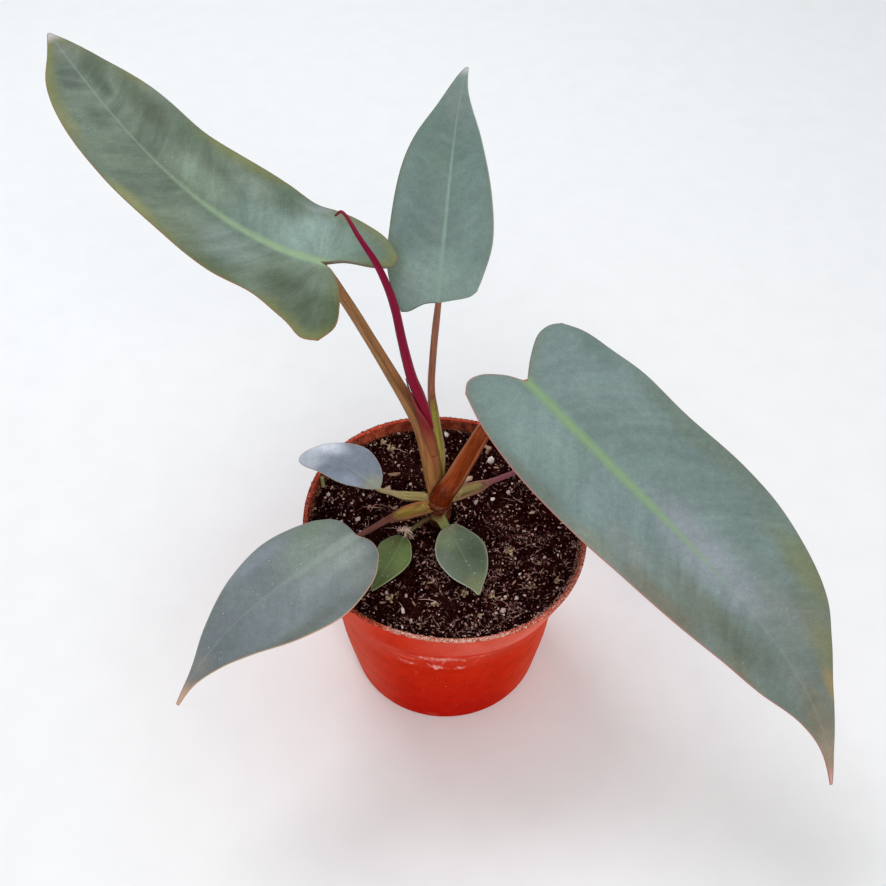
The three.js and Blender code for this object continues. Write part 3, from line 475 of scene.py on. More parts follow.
# How each blade looks. Colours are linear red, green and blue. rib gives the midrib's half width
# and the shares of the length where its colour starts and ends to fade. A patch is a soft
# ellipse: its middle as (t, x), its half length and half width, its colour and how far it covers.
# Some patches are the leaf's own tone, and some are painted sheen, painted highlights and painted shade.
BASE_LOOK = dict(
    slot="blade_grey_green", body=(0.155, 0.215, 0.2), pale=(0.2, 0.275, 0.26), margin=(0.16, 0.19, 0.14),
    margin_width=5, margin_share=0.5, rib=(1.9, 0.15, 0.62), rib_colour=(0.22, 0.34, 0.18), rib_share=0.85,
    rim=(0.45, 0.19, 0.16), rim_left=(0.2, 0.17, 0.13), tip=(0.42, 0.25, 0.19), tip_from=0.93,
    vein_spacing=7.5, vein_relief=0.04, vein_share=0.08, below=(0.2, 0.06, 0.06), specks=0.25, cell=1.0,
    waviness=0.3, thread=0.2, gloss=0.19, streak=0.07, patches=(),
)
LOOKS = {
    "right_leaf": dict(
        body=(0.15, 0.205, 0.192), pale=(0.195, 0.262, 0.252), rib=(2.5, 0.3, 0.62),
        rib_colour=(0.22, 0.35, 0.16), tip=(0.63, 0.31, 0.29), tip_from=0.95,
        patches=[
            (122, 0, 34, 22, (0.135, 0.155, 0.125), 0.55), (14, 10, 26, 12, (0.215, 0.3, 0.28), 0.6),
            (6, -27, 12, 7, (0.11, 0.16, 0.14), 0.6), (40, -12, 30, 12, (0.16, 0.225, 0.207), 0.5),
            (50, -29, 42, 5, (0.138, 0.18, 0.135), 0.6), (26, 25, 22, 4, (0.14, 0.165, 0.135), 0.7),
            (55, 24, 13, 4, (0.225, 0.23, 0.165), 0.6), (62, 16, 14, 5, (0.215, 0.235, 0.22), 0.6),
            # The pale lilac patch at (84, -1) is painted sheen.
            (85, 21, 24, 5, (0.17, 0.15, 0.1), 0.7), (84, -1, 32, 9, (0.275, 0.29, 0.335), 0.72),
            (92, 12, 20, 7, (0.15, 0.155, 0.112), 0.65), (112, 9, 22, 7, (0.125, 0.145, 0.11), 0.5),
            (108, -24, 20, 6, (0.175, 0.19, 0.085), 0.7), (130, -14, 16, 6, (0.2, 0.195, 0.09), 0.7),
            (120, 16, 16, 4, (0.175, 0.155, 0.09), 0.65), (132, 1, 11, 6, (0.19, 0.205, 0.18), 0.5),
            (110, 11, 14, 4, (0.1, 0.115, 0.085), 0.55), (111, -9, 13, 4, (0.215, 0.24, 0.225), 0.6),
            (148, 0, 13, 8, (0.2, 0.175, 0.115), 0.8), (141, -9, 9, 3, (0.36, 0.25, 0.1), 0.75),
            (163, 0, 13, 8, (0.33, 0.235, 0.15), 0.9),
        ],
    ),
    "upper_left_leaf": dict(
        slot="blade_deep_green", body=(0.097, 0.13, 0.092), pale=(0.135, 0.178, 0.13),
        margin=(0.18, 0.185, 0.055), margin_width=6, margin_share=0.85, rib=(2.0, 0.05, 0.6),
        rib_colour=(0.28, 0.4, 0.21), rib_share=0.9, rim=(0.2, 0.17, 0.12), rim_left=(0.28, 0.16, 0.08),
        tip=(0.5, 0.46, 0.46), tip_from=0.94, vein_relief=0.05, vein_share=0.08, waviness=0.4, gloss=0.11,
        thread=0.3, streak=0.14,
        patches=[
            (22, 6, 26, 10, (0.175, 0.24, 0.21), 0.85), (3, 6, 16, 11, (0.23, 0.32, 0.28), 0.9),
            (23, 18, 12, 6, (0.108, 0.155, 0.112), 0.85), (30, -8, 20, 6, (0.205, 0.268, 0.23), 0.8),
            # The pale patch at (10, 20) is a painted highlight along the lobe's edge.
            (36, 15, 10, 5, (0.2, 0.25, 0.205), 0.75), (10, 20, 8, 2.5, (0.24, 0.29, 0.29), 0.7),
            (-4, -19, 15, 10, (0.068, 0.094, 0.048), 0.9), (8, -12, 11, 7, (0.058, 0.083, 0.045), 0.85),
            (26, -19, 13, 3, (0.11, 0.135, 0.055), 0.7), (46, -12, 14, 6, (0.17, 0.21, 0.145), 0.7),
            (62, -17, 12, 3, (0.245, 0.255, 0.11), 0.7), (114, -4, 10, 4, (0.078, 0.1, 0.08), 0.8),
            (54, 6, 17, 6, (0.215, 0.28, 0.205), 0.85), (68, 15, 17, 5, (0.1, 0.14, 0.09), 0.75),
            (92, 11, 17, 5, (0.062, 0.08, 0.044), 0.85), (95, -5, 12, 4, (0.078, 0.105, 0.08), 0.75),
            (106, 4, 8, 3, (0.06, 0.085, 0.055), 0.9), (117, 6, 8, 4, (0.075, 0.1, 0.06), 0.8),
            (96, -14, 12, 3, (0.19, 0.205, 0.11), 0.6), (130, 1, 8, 5, (0.16, 0.178, 0.145), 0.7),
            (-10, 8, 12, 8, (0.15, 0.21, 0.165), 0.6), (17, 22, 10, 3, (0.1, 0.145, 0.105), 0.7),
        ],
    ),
    "upper_leaf": dict(
        body=(0.14, 0.2, 0.182), pale=(0.175, 0.245, 0.225), margin=(0.14, 0.19, 0.125), margin_width=2.5,
        rib=(1.1, 0.4, 0.95), rib_colour=(0.25, 0.37, 0.31), rim=(0.3, 0.34, 0.3),
        rim_left=(0.13, 0.15, 0.12),
        tip=(0.5, 0.48, 0.49), tip_from=0.93, cell=0.8,
        patches=[
            (5, 1, 14, 16, (0.25, 0.345, 0.305), 0.7), (30, 8, 22, 6, (0.172, 0.245, 0.225), 0.6),
            (47, -5, 14, 9, (0.133, 0.198, 0.165), 0.7), (69, 0, 11, 6, (0.185, 0.225, 0.205), 0.6),
            (12, -16, 9, 3, (0.115, 0.165, 0.11), 0.7),
        ],
    ),
    "lower_left_leaf": dict(
        slot="blade_blue_grey", body=(0.148, 0.172, 0.182), pale=(0.175, 0.202, 0.21),
        margin=(0.142, 0.162, 0.13), margin_width=3, rib=(2.0, 0.15, 0.5), rib_colour=(0.28, 0.33, 0.3),
        rib_share=0.7, streak=0.05, rim=(0.24, 0.25, 0.24), rim_left=(0.5, 0.33, 0.22),
        tip=(0.65, 0.36, 0.24), tip_from=0.86, cell=0.8, specks=0.8, vein_share=0.05,
        patches=[
            (60, -2, 22, 12, (0.122, 0.142, 0.15), 0.6), (12, 3, 20, 15, (0.232, 0.285, 0.24), 0.85),
            (23, -7, 11, 5, (0.24, 0.275, 0.28), 0.65), (8, -14, 8, 6, (0.235, 0.26, 0.235), 0.6),
            (8, -5, 12, 5, (0.33, 0.37, 0.35), 0.7), (7, 0, 12, 2.5, (0.38, 0.44, 0.39), 0.8),
            (35, -18, 28, 4, (0.112, 0.128, 0.105), 0.7), (34, 12, 18, 3, (0.22, 0.25, 0.285), 0.75),
            (12, 10, 9, 4, (0.185, 0.245, 0.17), 0.6), (68, 0, 7, 6, (0.225, 0.21, 0.185), 0.6),
            (58, 2, 16, 3, (0.17, 0.19, 0.21), 0.6),
        ],
    ),
    "left_leaf": dict(
        # The pale blue-white tip and the palest patches near it, at (25, 5) and (33, 1), are painted sheen.
        slot="blade_blue_grey", body=(0.2, 0.235, 0.29), pale=(0.235, 0.275, 0.335), margin=(0.24, 0.25, 0.3),
        margin_width=1.5, rib=(0.6, 0.3, 0.8), rib_colour=(0.31, 0.39, 0.38), rim=(0.4, 0.4, 0.38),
        rim_left=(0.34, 0.33, 0.28), tip=(0.6, 0.62, 0.68), vein_spacing=4, vein_relief=0.01, cell=0.55,
        specks=0.5, waviness=0.1, below=(0.16, 0.12, 0.1), thread=0.1, rib_share=0.6, vein_share=0.015,
        streak=0.04,
        patches=[
            (9, -5, 7, 4, (0.34, 0.4, 0.5), 0.85), (17, -7, 8, 3, (0.28, 0.33, 0.42), 0.7),
            (17, 4, 8, 3, (0.25, 0.3, 0.37), 0.6), (28, 1, 9, 5, (0.34, 0.4, 0.5), 0.7),
            (33, 1, 9, 12, (0.6, 0.65, 0.73), 0.85), (25, 5, 8, 4, (0.75, 0.8, 0.9), 0.95),
            (2, 0, 6, 6, (0.36, 0.37, 0.25), 0.75),
        ],
    ),
    "front_leaf": dict(
        body=(0.072, 0.102, 0.058), pale=(0.115, 0.15, 0.092), margin=(0.21, 0.25, 0.16), margin_width=1.5,
        margin_share=0.75, rib=(0.6, 0.3, 0.8), rib_colour=(0.15, 0.2, 0.13), rim=(0.44, 0.48, 0.38),
        rim_left=(0.36, 0.38, 0.28), tip=(0.22, 0.25, 0.12), vein_spacing=4, vein_relief=0.012, cell=0.5,
        specks=1.0, waviness=0.1, below=(0.14, 0.12, 0.09), thread=0.08, rib_share=0.6, vein_share=0.03,
        patches=[
            (7, -2, 7, 9, (0.12, 0.16, 0.09), 0.7), (17, 6, 9, 4, (0.15, 0.188, 0.145), 0.85),
            (20, 3, 7, 4, (0.125, 0.155, 0.1), 0.7), (5, 3, 6, 5, (0.2, 0.255, 0.14), 0.8),
            (14, -5, 8, 4, (0.058, 0.083, 0.048), 0.75), (28, 0, 6, 6, (0.185, 0.205, 0.1), 0.9),
            (0, 0, 5, 4, (0.26, 0.26, 0.16), 0.85),
        ],
    ),
    "small_leaf": dict(
        slot="blade_bright_green", body=(0.085, 0.122, 0.04), pale=(0.13, 0.178, 0.062),
        margin=(0.12, 0.16, 0.05), margin_width=1.5, rib=(0.5, 0.4, 0.9), rib_colour=(0.185, 0.24, 0.085),
        rim=(0.25, 0.28, 0.18), rim_left=(0.3, 0.34, 0.16), tip=(0.08, 0.11, 0.03), vein_spacing=4,
        vein_relief=0.012, cell=0.5, specks=0.4, waviness=0.1, below=(0.12, 0.13, 0.07), thread=0.08,
        rib_share=0.6, vein_share=0.03,
        patches=[
            (10, -3, 8, 4, (0.14, 0.2, 0.058), 0.85), (22, 0, 7, 6, (0.056, 0.084, 0.02), 0.85),
            (3, 3, 4, 3, (0.11, 0.1, 0.035), 0.6),
        ],
    ),
    "hidden_leaf": dict(cell=0.8),
}
BLADE_THICKNESS = 0.8
MARGIN_THICKNESS = 0.4
FOLD_SOFTNESS = 2
RIB_DEPTH_SHARE = 0.01
EDGE_INSET = 0.12


class Blade:
    """A leaf's blade as a curved sheet, and how its flat outline is filled."""

    def __init__(self, leaf):
        self.leaf = leaf
        a, b, c, d = np.array(leaf["spine"], float)
        u = np.linspace(0, 1, 401)[:, None]
        self.midrib = Line((1 - u) ** 3 * a + 3 * (1 - u) ** 2 * u * b + 3 * (1 - u) * u**2 * c + u**3 * d)
        self.along = unit((1 - u) ** 2 * (b - a) + 2 * (1 - u) * u * (c - b) + u**2 * (d - c))
        self.faces = unit(np.array(leaf["faces"], float))
        self.length = self.midrib.length

    def frame(self, t):
        inside = np.clip(t, 0, self.length)
        along = unit(self.midrib.read(inside, self.along))
        origin = self.midrib.read(inside) + along * (t - inside)[..., None]
        share = (inside / self.length)[..., None]
        up = self.faces[0] * (1 - share) + self.faces[1] * share
        up = unit(up - along * (along * up).sum(-1, keepdims=True))
        return origin, up, np.cross(along, up)

    def place(self, t, x):
        """The sheet's middle surface: folded along the midrib, arched, and waved at the margin."""
        t, x = np.broadcast_arrays(np.asarray(t, float), np.asarray(x, float))
        origin, up, across = self.frame(t)
        height, length, phase, at = self.leaf["wave"]
        to_margin = np.minimum(np.abs(x) / at, 1.5)
        turn = 2 * np.pi * t / length + phase + np.where(x > 0, 1.7, 0)
        lift = (
            math.tan(math.radians(self.leaf["fold"])) * (np.hypot(x, FOLD_SOFTNESS) - FOLD_SOFTNESS)
            - x**2 / (2 * self.leaf["curl_radius"])
            + height * to_margin**2 * np.sin(turn)
        )
        return origin + across * x[..., None] + up * lift[..., None]

    def normal(self, t, x):
        step = 0.5
        across = self.place(t, x + step) - self.place(t, x - step)
        along = self.place(t + step, x) - self.place(t - step, x)
        return unit(np.cross(across, along))

    def half(self, side, s, v):
        """Fills one half: s from the sinus to the tip, v from the midrib to the margin."""
        sinus = Line(curve_through(self.leaf[side + "_sinus"], 40))
        margin = Line(curve_through(self.leaf[side + "_margin"], 40))
        s, v = s[:, None, None], v[None, :, None]
        tip = np.array([margin.samples[-1][0], 0])
        return (
            (1 - s) * sinus.read(v[..., 0] * sinus.length)
            + (1 - v) * s * tip
            + v * margin.read(s[..., 0] * margin.length)
            - (1 - s) * v * sinus.samples[-1]
        )

    def outline(self):
        edges = [self.leaf[f"{side}_{part}"] for side in ("right", "left") for part in ("sinus", "margin")]
        lines = [Line(curve_through(edge, 40)) for edge in edges]
        return np.vstack([line.read(np.arange(0, line.length, 0.4)) for line in lines])


def vein_count(t, x, spacing):
    """Counts the side veins. They sweep forward from the midrib, and fan out in the lobes."""
    rake, sweep, fan = 0.55, 0.012, 16
    reach = np.abs(x)
    bent = t - sweep * reach**2
    ahead = bent - rake * reach
    behind = -fan * (np.arctan2(reach, bent) - math.atan2(1, rake))
    return np.where(ahead > 0, ahead, behind) / spacing


def blade_grid(blade, look):
    """The flat grid as t and x, how far inward each point lies, and its share of the length."""
    rows = round(blade.length / look["cell"])
    margins = blade.leaf["left_margin"] + blade.leaf["right_margin"]
    half = round(max(abs(x) for _, x in margins) / look["cell"] * 0.85)
    s = np.linspace(0, 1, rows + 1)
    turn = np.linspace(0, 1, half + 1)
    v = 0.3 * (1 - np.cos(np.pi * turn)) + 0.4 * turn
    right, left = blade.half("right", s, v), blade.half("left", s, v)
    flat = np.concatenate([left[:, :0:-1], right], axis=1)
    outline = blade.outline()
    inward = np.array([np.linalg.norm(row[:, None] - outline, axis=2).min(1) for row in flat])
    inward[:, [0, -1]] = 0
    return flat[..., 0], flat[..., 1], inward, np.broadcast_to(s[:, None], inward.shape)


def blade_relief(look, length, t, x, inward, share):
    """The side veins' count, and how far each face stands out over a plain sheet."""
    veins = vein_count(t, x, look["vein_spacing"])
    veins = veins + 0.12 * noise_at(np.stack([t, x, 0 * t], -1), 14, 2)
    crease = (0.5 + 0.5 * np.cos(2 * np.pi * veins)) ** 4
    fade = ramp(inward, 0.5, 7) * ramp(np.abs(x), 0.5, 3)
    rib_width = look["rib"][0] * (1 - 0.75 * share)
    channel = bell(x, 0.9 * rib_width) * (1 - ramp(share, 0.5, 1.0))
    pillow = look["vein_relief"] * fade
    above = pillow * (0.6 - 2 * crease) - 0.22 * channel
    below = 1.6 * pillow * (2 * crease - 0.6)
    below += RIB_DEPTH_SHARE * length * (1 - share) * bell(x, 0.6 + 1.1 * rib_width)
    return veins, above, below


def blade_layers(blade, look, t, x, inward, above, below):
    """The upper face, the lower face and the sheet between them, whose edge isn't drawn in."""
    sway = look["waviness"] * noise_at(np.stack([t, x, 0 * t + 5], -1), 24, 2) * ramp(np.abs(x), 1, 12)
    thick = MARGIN_THICKNESS + (BLADE_THICKNESS - MARGIN_THICKNESS) * (1 - np.exp(-inward / 1.6))
    t_in, x_in = t.copy(), x.copy()
    t_in[0] += EDGE_INSET
    t_in[-1] -= EDGE_INSET
    x_in[:, 0] += EDGE_INSET
    x_in[:, -1] -= EDGE_INSET
    normal = blade.normal(t_in, x_in)
    sway = normal * sway[..., None]
    middle = blade.place(t_in, x_in) + sway
    upper = middle + normal * (thick / 2 + above)[..., None]
    lower = middle - normal * (thick / 2 + below)[..., None]
    return upper, lower, blade.place(t, x) + sway


def make_blade(name):
    """A closed sheet: an upper and a lower face that meet in a ring along the edge."""
    look = {**BASE_LOOK, **LOOKS[name]}
    blade = Blade(LEAVES[name])
    t, x, inward, share = blade_grid(blade, look)
    veins, above, below = blade_relief(look, blade.length, t, x, inward, share)
    upper, lower, sheet = blade_layers(blade, look, t, x, inward, above, below)
    rows, columns = t.shape[0] - 1, t.shape[1] - 1
    rim = border(np.arange(t.size).reshape(t.shape))
    middle_ring = 2 * t.size + np.arange(len(rim))
    faces = np.vstack([
        grid_faces(rows, columns),
        grid_faces(rows, columns, t.size)[:, ::-1],
        band_faces(rim, middle_ring),
        band_faces(middle_ring, rim + t.size),
    ])
    points = np.vstack([upper.reshape(-1, 3), lower.reshape(-1, 3), sheet.reshape(-1, 3)[rim]])
    flat_place = np.stack([t, x, inward], -1).reshape(-1, 3)
    marks = np.stack([veins, 0 * t, share], -1).reshape(-1, 3)
    upper_marks, rim_marks = marks.copy(), marks[rim].copy()
    upper_marks[:, 1] = 1
    rim_marks[:, 1] = 0.5
    make_piece(
        f"fine_{name}_blade", points, faces, blade_material(name, look), [f"{name}_blade"],
        {
            "leaf_place": np.vstack([flat_place, flat_place, flat_place[rim]]),
            "leaf_marks": np.vstack([upper_marks, marks, rim_marks]),
        },
    )


def blade_ground(m, look, along, across, inward):
    """Broad clouds of bloom, an olive margin, patches that are partly the leaf's own tone and partly painted
    sheen, highlights and shade, and a fine mottle.
    """
    place = m.place()
    wide = m.noise(place, 38, 3)
    clouds = m.ramp(wide, 0.3, 0.7)
    colour = m.mix(clouds, look["body"], look["pale"])
    near_margin = m.ramp(inward, 0.0, look["margin_width"], 1.0, 0.0)
    patchy = m.ramp(m.noise(place, 26, 2), 0.3, 0.62)
    colour = m.mix(m.times(near_margin, patchy, look["margin_share"]), colour, look["margin"])
    # The patches: partly the leaf's own tone, partly painted sheen, highlights and shade
    for t, x, long, broad, tone, cover in look["patches"]:
        off_t = m.times(m.math("SUBTRACT", along, float(t)), 1 / long)
        off_x = m.times(m.math("SUBTRACT", across, float(x)), 1 / broad)
        off = m.math("SQRT", m.math("ADD", m.times(off_t, off_t), m.times(off_x, off_x)))
        off = m.math("ADD", off, m.times(m.math("SUBTRACT", wide, 0.5), 1.2))
        colour = m.mix(m.ramp(off, 0.25, 1.25, cover, 0.0), colour, tone)
    mottle = m.noise(place, 420, 6, 0.65)
    colour = m.mix(0.5, colour, m.mix(mottle, (0.5, 0.5, 0.5), (1.5, 1.5, 1.5)), "MULTIPLY")
    grain = m.ramp(m.noise(place, 1300, 3, 0.6), 0.3, 0.7)
    colour = m.mix(0.3, colour, m.mix(grain, (0.75, 0.8, 0.7), (1.25, 1.2, 1.3)), "MULTIPLY")
    return colour, clouds, mottle


def blade_veins(m, look, colour, veins, along, across, inward):
    """Soft pale side veins that come and go and fade towards the margin, with streaks along them."""
    to_line = m.math("PINGPONG", veins, 0.5)
    there = m.times(m.ramp(inward, 1.0, 9.0), m.ramp(m.noise(m.place(), 55, 2), 0.35, 0.65, 0.25, 1.0))
    lines = m.times(m.ramp(to_line, 0.0, 0.3, 1.0, 0.0), there)
    fine = m.ramp(m.math("PINGPONG", m.times(veins, 5.0), 0.5), 0.0, 0.4, 1.0, 0.0)
    vein_share = m.times(m.math("ADD", lines, m.times(fine, 0.35)), look["vein_share"])
    colour = m.mix(vein_share, colour, (0.3, 0.37, 0.31))
    swept = m.join(m.times(veins, 1.5), m.times(across, 0.07), m.times(along, 0.04))
    streaks = m.ramp(m.noise(swept, 1.0, 5, 0.55), 0.3, 0.7)
    shade = m.mix(streaks, (1 - look["streak"],) * 3, (1 + look["streak"],) * 3)
    return m.mix(m.ramp(inward, 0.5, 5.0), colour, m.mix(1.0, colour, shade, "MULTIPLY")), lines


def blade_rib(m, look, colour, across, share):
    """The midrib with its pale thread, the tip, and bright specks."""
    place = m.place()
    half_width, from_share, to_share = look["rib"]
    width = m.ramp(share, 0.0, 1.0, half_width, 0.25 * half_width)
    aside = m.math("ABSOLUTE", across)
    to_rib = m.math("DIVIDE", aside, width)
    rib = m.times(
        m.ramp(to_rib, 0.1, 1.15, 1.0, 0.0), m.ramp(share, from_share, to_share, look["rib_share"], 0.0),
        m.ramp(m.noise(place, 300, 4), 0.25, 0.6, 0.7, 1.0),
    )
    colour = m.mix(rib, colour, look["rib_colour"])
    thread = m.times(m.ramp(aside, 0.15, 0.6, look["thread"], 0.0), m.ramp(share, 0.92, 0.99, 1.0, 0.0))
    colour = m.mix(thread, colour, (0.26, 0.33, 0.28))
    colour = m.mix(m.ramp(share, look["tip_from"], 0.99), colour, look["tip"])
    specks = m.ramp(m.add("TexVoronoi", {"Vector": place, "Scale": 520.0}), 0.05, 0.11, 1.0, 0.0)
    specks = m.times(specks, m.ramp(m.noise(place, 150, 2), 0.55, 0.62), look["specks"])
    return m.mix(specks, colour, (0.7, 0.72, 0.72)), to_rib


def blade_flush(m, look, clouds, lines, to_rib):
    """The underside is flushed, with paler veins."""
    flush = m.mix(clouds, look["below"], tuple(1.5 * c + 0.01 for c in look["below"]))
    flush = m.mix(m.times(lines, 0.35), flush, (0.3, 0.2, 0.14))
    return m.mix(m.times(m.ramp(to_rib, 0.6, 1.5, 1.0, 0.0), 0.6), flush, (0.34, 0.27, 0.15))


def blade_material(name, look):
    m = Shader(f"{name}_blade", Specular_IOR_Level=look["gloss"], Sheen_Weight=0.04, Sheen_Roughness=0.5)
    m.put(m.surface.inputs["Sheen Tint"], (0.8, 0.9, 1.0))
    along, across, inward = m.split("leaf_place")
    veins, upper, share = m.split("leaf_marks")
    colour, clouds, mottle = blade_ground(m, look, along, across, inward)
    colour, lines = blade_veins(m, look, colour, veins, along, across, inward)
    colour, to_rib = blade_rib(m, look, colour, across, share)
    colour = m.mix(m.ramp(upper, 0.4, 0.6), blade_flush(m, look, clouds, lines, to_rib), colour)
    rim = m.mix(m.math("GREATER_THAN", across, 0.0), look["rim_left"], look["rim"])
    colour = m.mix(m.ramp(inward, 0.1, 0.5, 1.0, 0.0), colour, rim)
    normal = m.bump(m.math("ADD", m.times(mottle, 0.5), m.times(lines, -0.5)), 0.00025, 0.5)
    return m.finish(colour, m.ramp(m.noise(m.place(), 90, 4), 0.3, 0.7, 0.4, 0.56), normal)


# Petioles with their sheaths, the rolled leaf and the stem
RING = 40
WING_ANGLE = 0.75


def gutter_ring(width, height, gutter):
    """One ring of a petiole, from the middle of its open side: round, or a gutter with thin wings."""
    angle = np.linspace(0, 2 * np.pi, RING, endpoint=False)
    signed = np.where(angle > np.pi, angle - 2 * np.pi, angle)
    side, front = width * np.sin(angle), height * np.cos(angle)
    wing = math.sin(WING_ANGLE)
    reach = np.clip(np.abs(np.sin(signed)) / wing, 0, 1)
    channel = height * (math.cos(WING_ANGLE) - 1.35 * np.sqrt(1 - reach**2))
    opened = np.abs(signed) < WING_ANGLE
    front = np.where(opened, front + (channel - front) * gutter, front)
    flare = bell(np.abs(signed) - WING_ANGLE, 0.35) * gutter
    return side * (1 + 0.22 * flare), front + 0.25 * height * flare, opened * gutter, flare


def smooth_between(stations, steps):
    """The stations' widths, heights and grooves, eased between the stations."""
    numbers = np.array([station[3:] for station in stations], float)
    u = np.linspace(0, len(stations) - 1, (len(stations) - 1) * steps + 1)
    i = np.minimum(u.astype(int), len(stations) - 2)
    part = ramp(u - i, 0, 1)[:, None] * 0.5 + (u - i)[:, None] * 0.5
    return numbers[i] * (1 - part) + numbers[i + 1] * part


def loft(stations, opens, ring_shape, steps=8):
    """Points and faces of a closed loft, with what its material reads."""
    line = curve_through([station[:3] for station in stations], steps)
    along = unit(np.gradient(line, axis=0))
    facing = unit(np.array(opens, float))
    opening = unit(facing - along * (along @ facing)[:, None])
    side = np.cross(along, opening)
    length = Line(line)
    rings, places, marks = [], [], []
    around = np.arange(RING) / RING
    for k, (width, height, groove) in enumerate(smooth_between(stations, steps)):
        across, front, inside, wing = ring_shape(width, height, groove, k)
        rings.append(line[k] + side[k] * across[:, None] + opening[k] * front[:, None])
        run = np.full(RING, length.at[k])
        places.append(np.stack([run, around, run / length.length], -1))
        marks.append(np.stack([inside, wing, np.full(RING, height)], -1))
    middles = [rings[0].mean(0)[None], rings[-1].mean(0)[None]]
    faces = tube_faces(len(rings), RING)[:, ::-1].tolist()
    count, last = len(rings) * RING, (len(rings) - 1) * RING
    faces += [[count, (k + 1) % RING, k] for k in range(RING)]
    faces += [[count + 1, last + k, last + (k + 1) % RING] for k in range(RING)]
    places += [places[0][:1], places[-1][:1]]
    marks += [marks[0][:1], marks[-1][:1]]
    made = {"stalk_place": np.vstack(places), "stalk_marks": np.vstack(marks)}
    return np.vstack([*rings, *middles]), faces, made


def make_loft(name, stations, opens, ring_shape, material, replaced, steps=8):
    points, faces, marks = loft(stations, opens, ring_shape, steps)
    make_piece(name, points, faces, material, replaced, marks)


# A petiole's slot, then its colours: at the foot, at the top, inside its sheath and on its wings
STALKS = {
    "right_leaf": (
        "petiole_red_brown",
        (0.15, 0.018, 0.0015), (0.44, 0.12, 0.045), (0.38, 0.078, 0.018), (0.55, 0.2, 0.1),
    ),
    "upper_left_leaf": (
        "petiole_olive",
        (0.37, 0.17, 0.06), (0.33, 0.165, 0.07), (0.34, 0.13, 0.06), (0.5, 0.28, 0.15),
    ),
    "upper_leaf": (
        "petiole_mauve",
        (0.4, 0.28, 0.06), (0.3, 0.12, 0.075), (0.38, 0.36, 0.08), (0.5, 0.4, 0.2),
    ),
    "lower_left_leaf": (
        "petiole_olive",
        (0.4, 0.2, 0.07), (0.18, 0.068, 0.055), (0.42, 0.31, 0.08), (0.5, 0.18, 0.09),
    ),
    "left_leaf": (
        "petiole_olive",
        (0.46, 0.33, 0.15), (0.4, 0.33, 0.17), (0.46, 0.43, 0.17), (0.5, 0.3, 0.2),
    ),
    "front_leaf": (
        "petiole_olive",
        (0.2, 0.06, 0.03), (0.2, 0.24, 0.08), (0.3, 0.24, 0.1), (0.35, 0.2, 0.12),
    ),
    "small_leaf": (
        "petiole_olive",
        (0.12, 0.06, 0.03), (0.12, 0.1, 0.045), (0.12, 0.08, 0.04), (0.2, 0.12, 0.07),
    ),
    "hidden_leaf": (
        "petiole_mauve",
        (0.45, 0.3, 0.13), (0.32, 0.11, 0.14), (0.52, 0.44, 0.2), (0.58, 0.28, 0.18),
    ),
}
# Where a stalk turns magenta and back, as distances from its foot
BLUSH = {"upper_left_leaf": (14, 50)}


def stalk_material(name, foot, top, inside_colour, wing_colour, blush=(0, 0)):
    """blush gives the distances from the foot between which the stalk turns magenta and back."""
    m = Shader(name, Specular_IOR_Level=0.13)
    run, around, share = m.split("stalk_place")
    inside, wing, _ = m.split("stalk_marks")
    colour = m.mix(m.ramp(share, 0.1, 0.55), foot, top)
    colour = m.mix(m.ramp(inside, 0.3, 0.9), colour, inside_colour)
    colour = m.mix(m.times(m.ramp(wing, 0.5, 0.95), 0.7), colour, wing_colour)
    if blush[1]:
        middle, reach = (blush[0] + blush[1]) / 2, (blush[1] - blush[0]) / 2
        off = m.math("ABSOLUTE", m.math("SUBTRACT", run, middle))
        to_right = m.ramp(m.math("ABSOLUTE", m.math("SUBTRACT", around, 0.5)), 0.28, 0.5)
        colour = m.mix(m.times(m.ramp(off, 0.0, reach, 0.85, 0.0), to_right), colour, (0.3, 0.02, 0.04))
    streak_place = m.join(m.times(around, 22.0), m.times(run, 0.045), m.times(inside, 4.0))
    streaks = m.noise(streak_place, 1.6, 5, 0.6)
    shade = m.mix(m.ramp(streaks, 0.3, 0.7), (0.45, 0.36, 0.34), (1.45, 1.45, 1.35))
    colour = m.mix(0.75, colour, shade, "MULTIPLY")
    flecks = m.ramp(m.noise(m.place(), 1500, 3), 0.62, 0.75)
    colour = m.mix(m.times(flecks, 0.35), colour, (0.45, 0.32, 0.18))
    normal = m.bump(streaks, 0.0004, 0.5)
    return m.finish(colour, m.ramp(streaks, 0.3, 0.7, 0.42, 0.3), normal)


def sheath_ring(width, height, groove, k):
    return gutter_ring(width, height, min(1.0, groove / 0.45))


def make_petiole(name):
    leaf = LEAVES[name]
    blade = Blade(leaf)
    radius = leaf["petiole"][-1][3]
    stations = list(leaf["petiole"])
    for t, size, sunk in ((0.6, 0.85 * radius, 1.25), (3 * radius, 0.55 * radius, 1.0)):
        place = blade.place(t, 0.0) - blade.normal(np.array(t), np.array(0.0)) * size * sunk
        stations.append((*place.ravel(), size, size, 0))
    slot, *colours = STALKS[name]
    material = stalk_material(f"{name}_petiole", *colours, BLUSH.get(name, (0, 0)))
    replaced = [f"{name}_petiole"]
    make_loft(f"fine_{name}_petiole", stations, leaf["opens"], sheath_ring, material, replaced)


ROLLED_LEAF = [
    (-3.7, 14.8, 108.5, 0.3, 0.3, 0), (-4.4, 15.3, 112.5, 1.1, 1.1, 0), (-6.2, 16.1, 119, 1.9, 1.9, 0),
    (-8.4, 17.1, 126, 2.15, 2.15, 0), (-10.5, 18, 133, 1.95, 1.95, 0),
    (-13.1, 20.6, 147, 1.6, 1.6, 0), (-15, 22.4, 159.6, 1.5, 1.5, 0), (-17.2, 22.6, 169, 1.3, 1.3, 0),
    (-20.2, 22.9, 177.6, 1.1, 1.1, 0), (-24.6, 24, 186, 0.8, 0.8, 0), (-29.7, 28.6, 192.6, 0.5, 0.5, 0),
    (-32.2, 31.2, 189.6, 0.4, 0.4, 0),
]


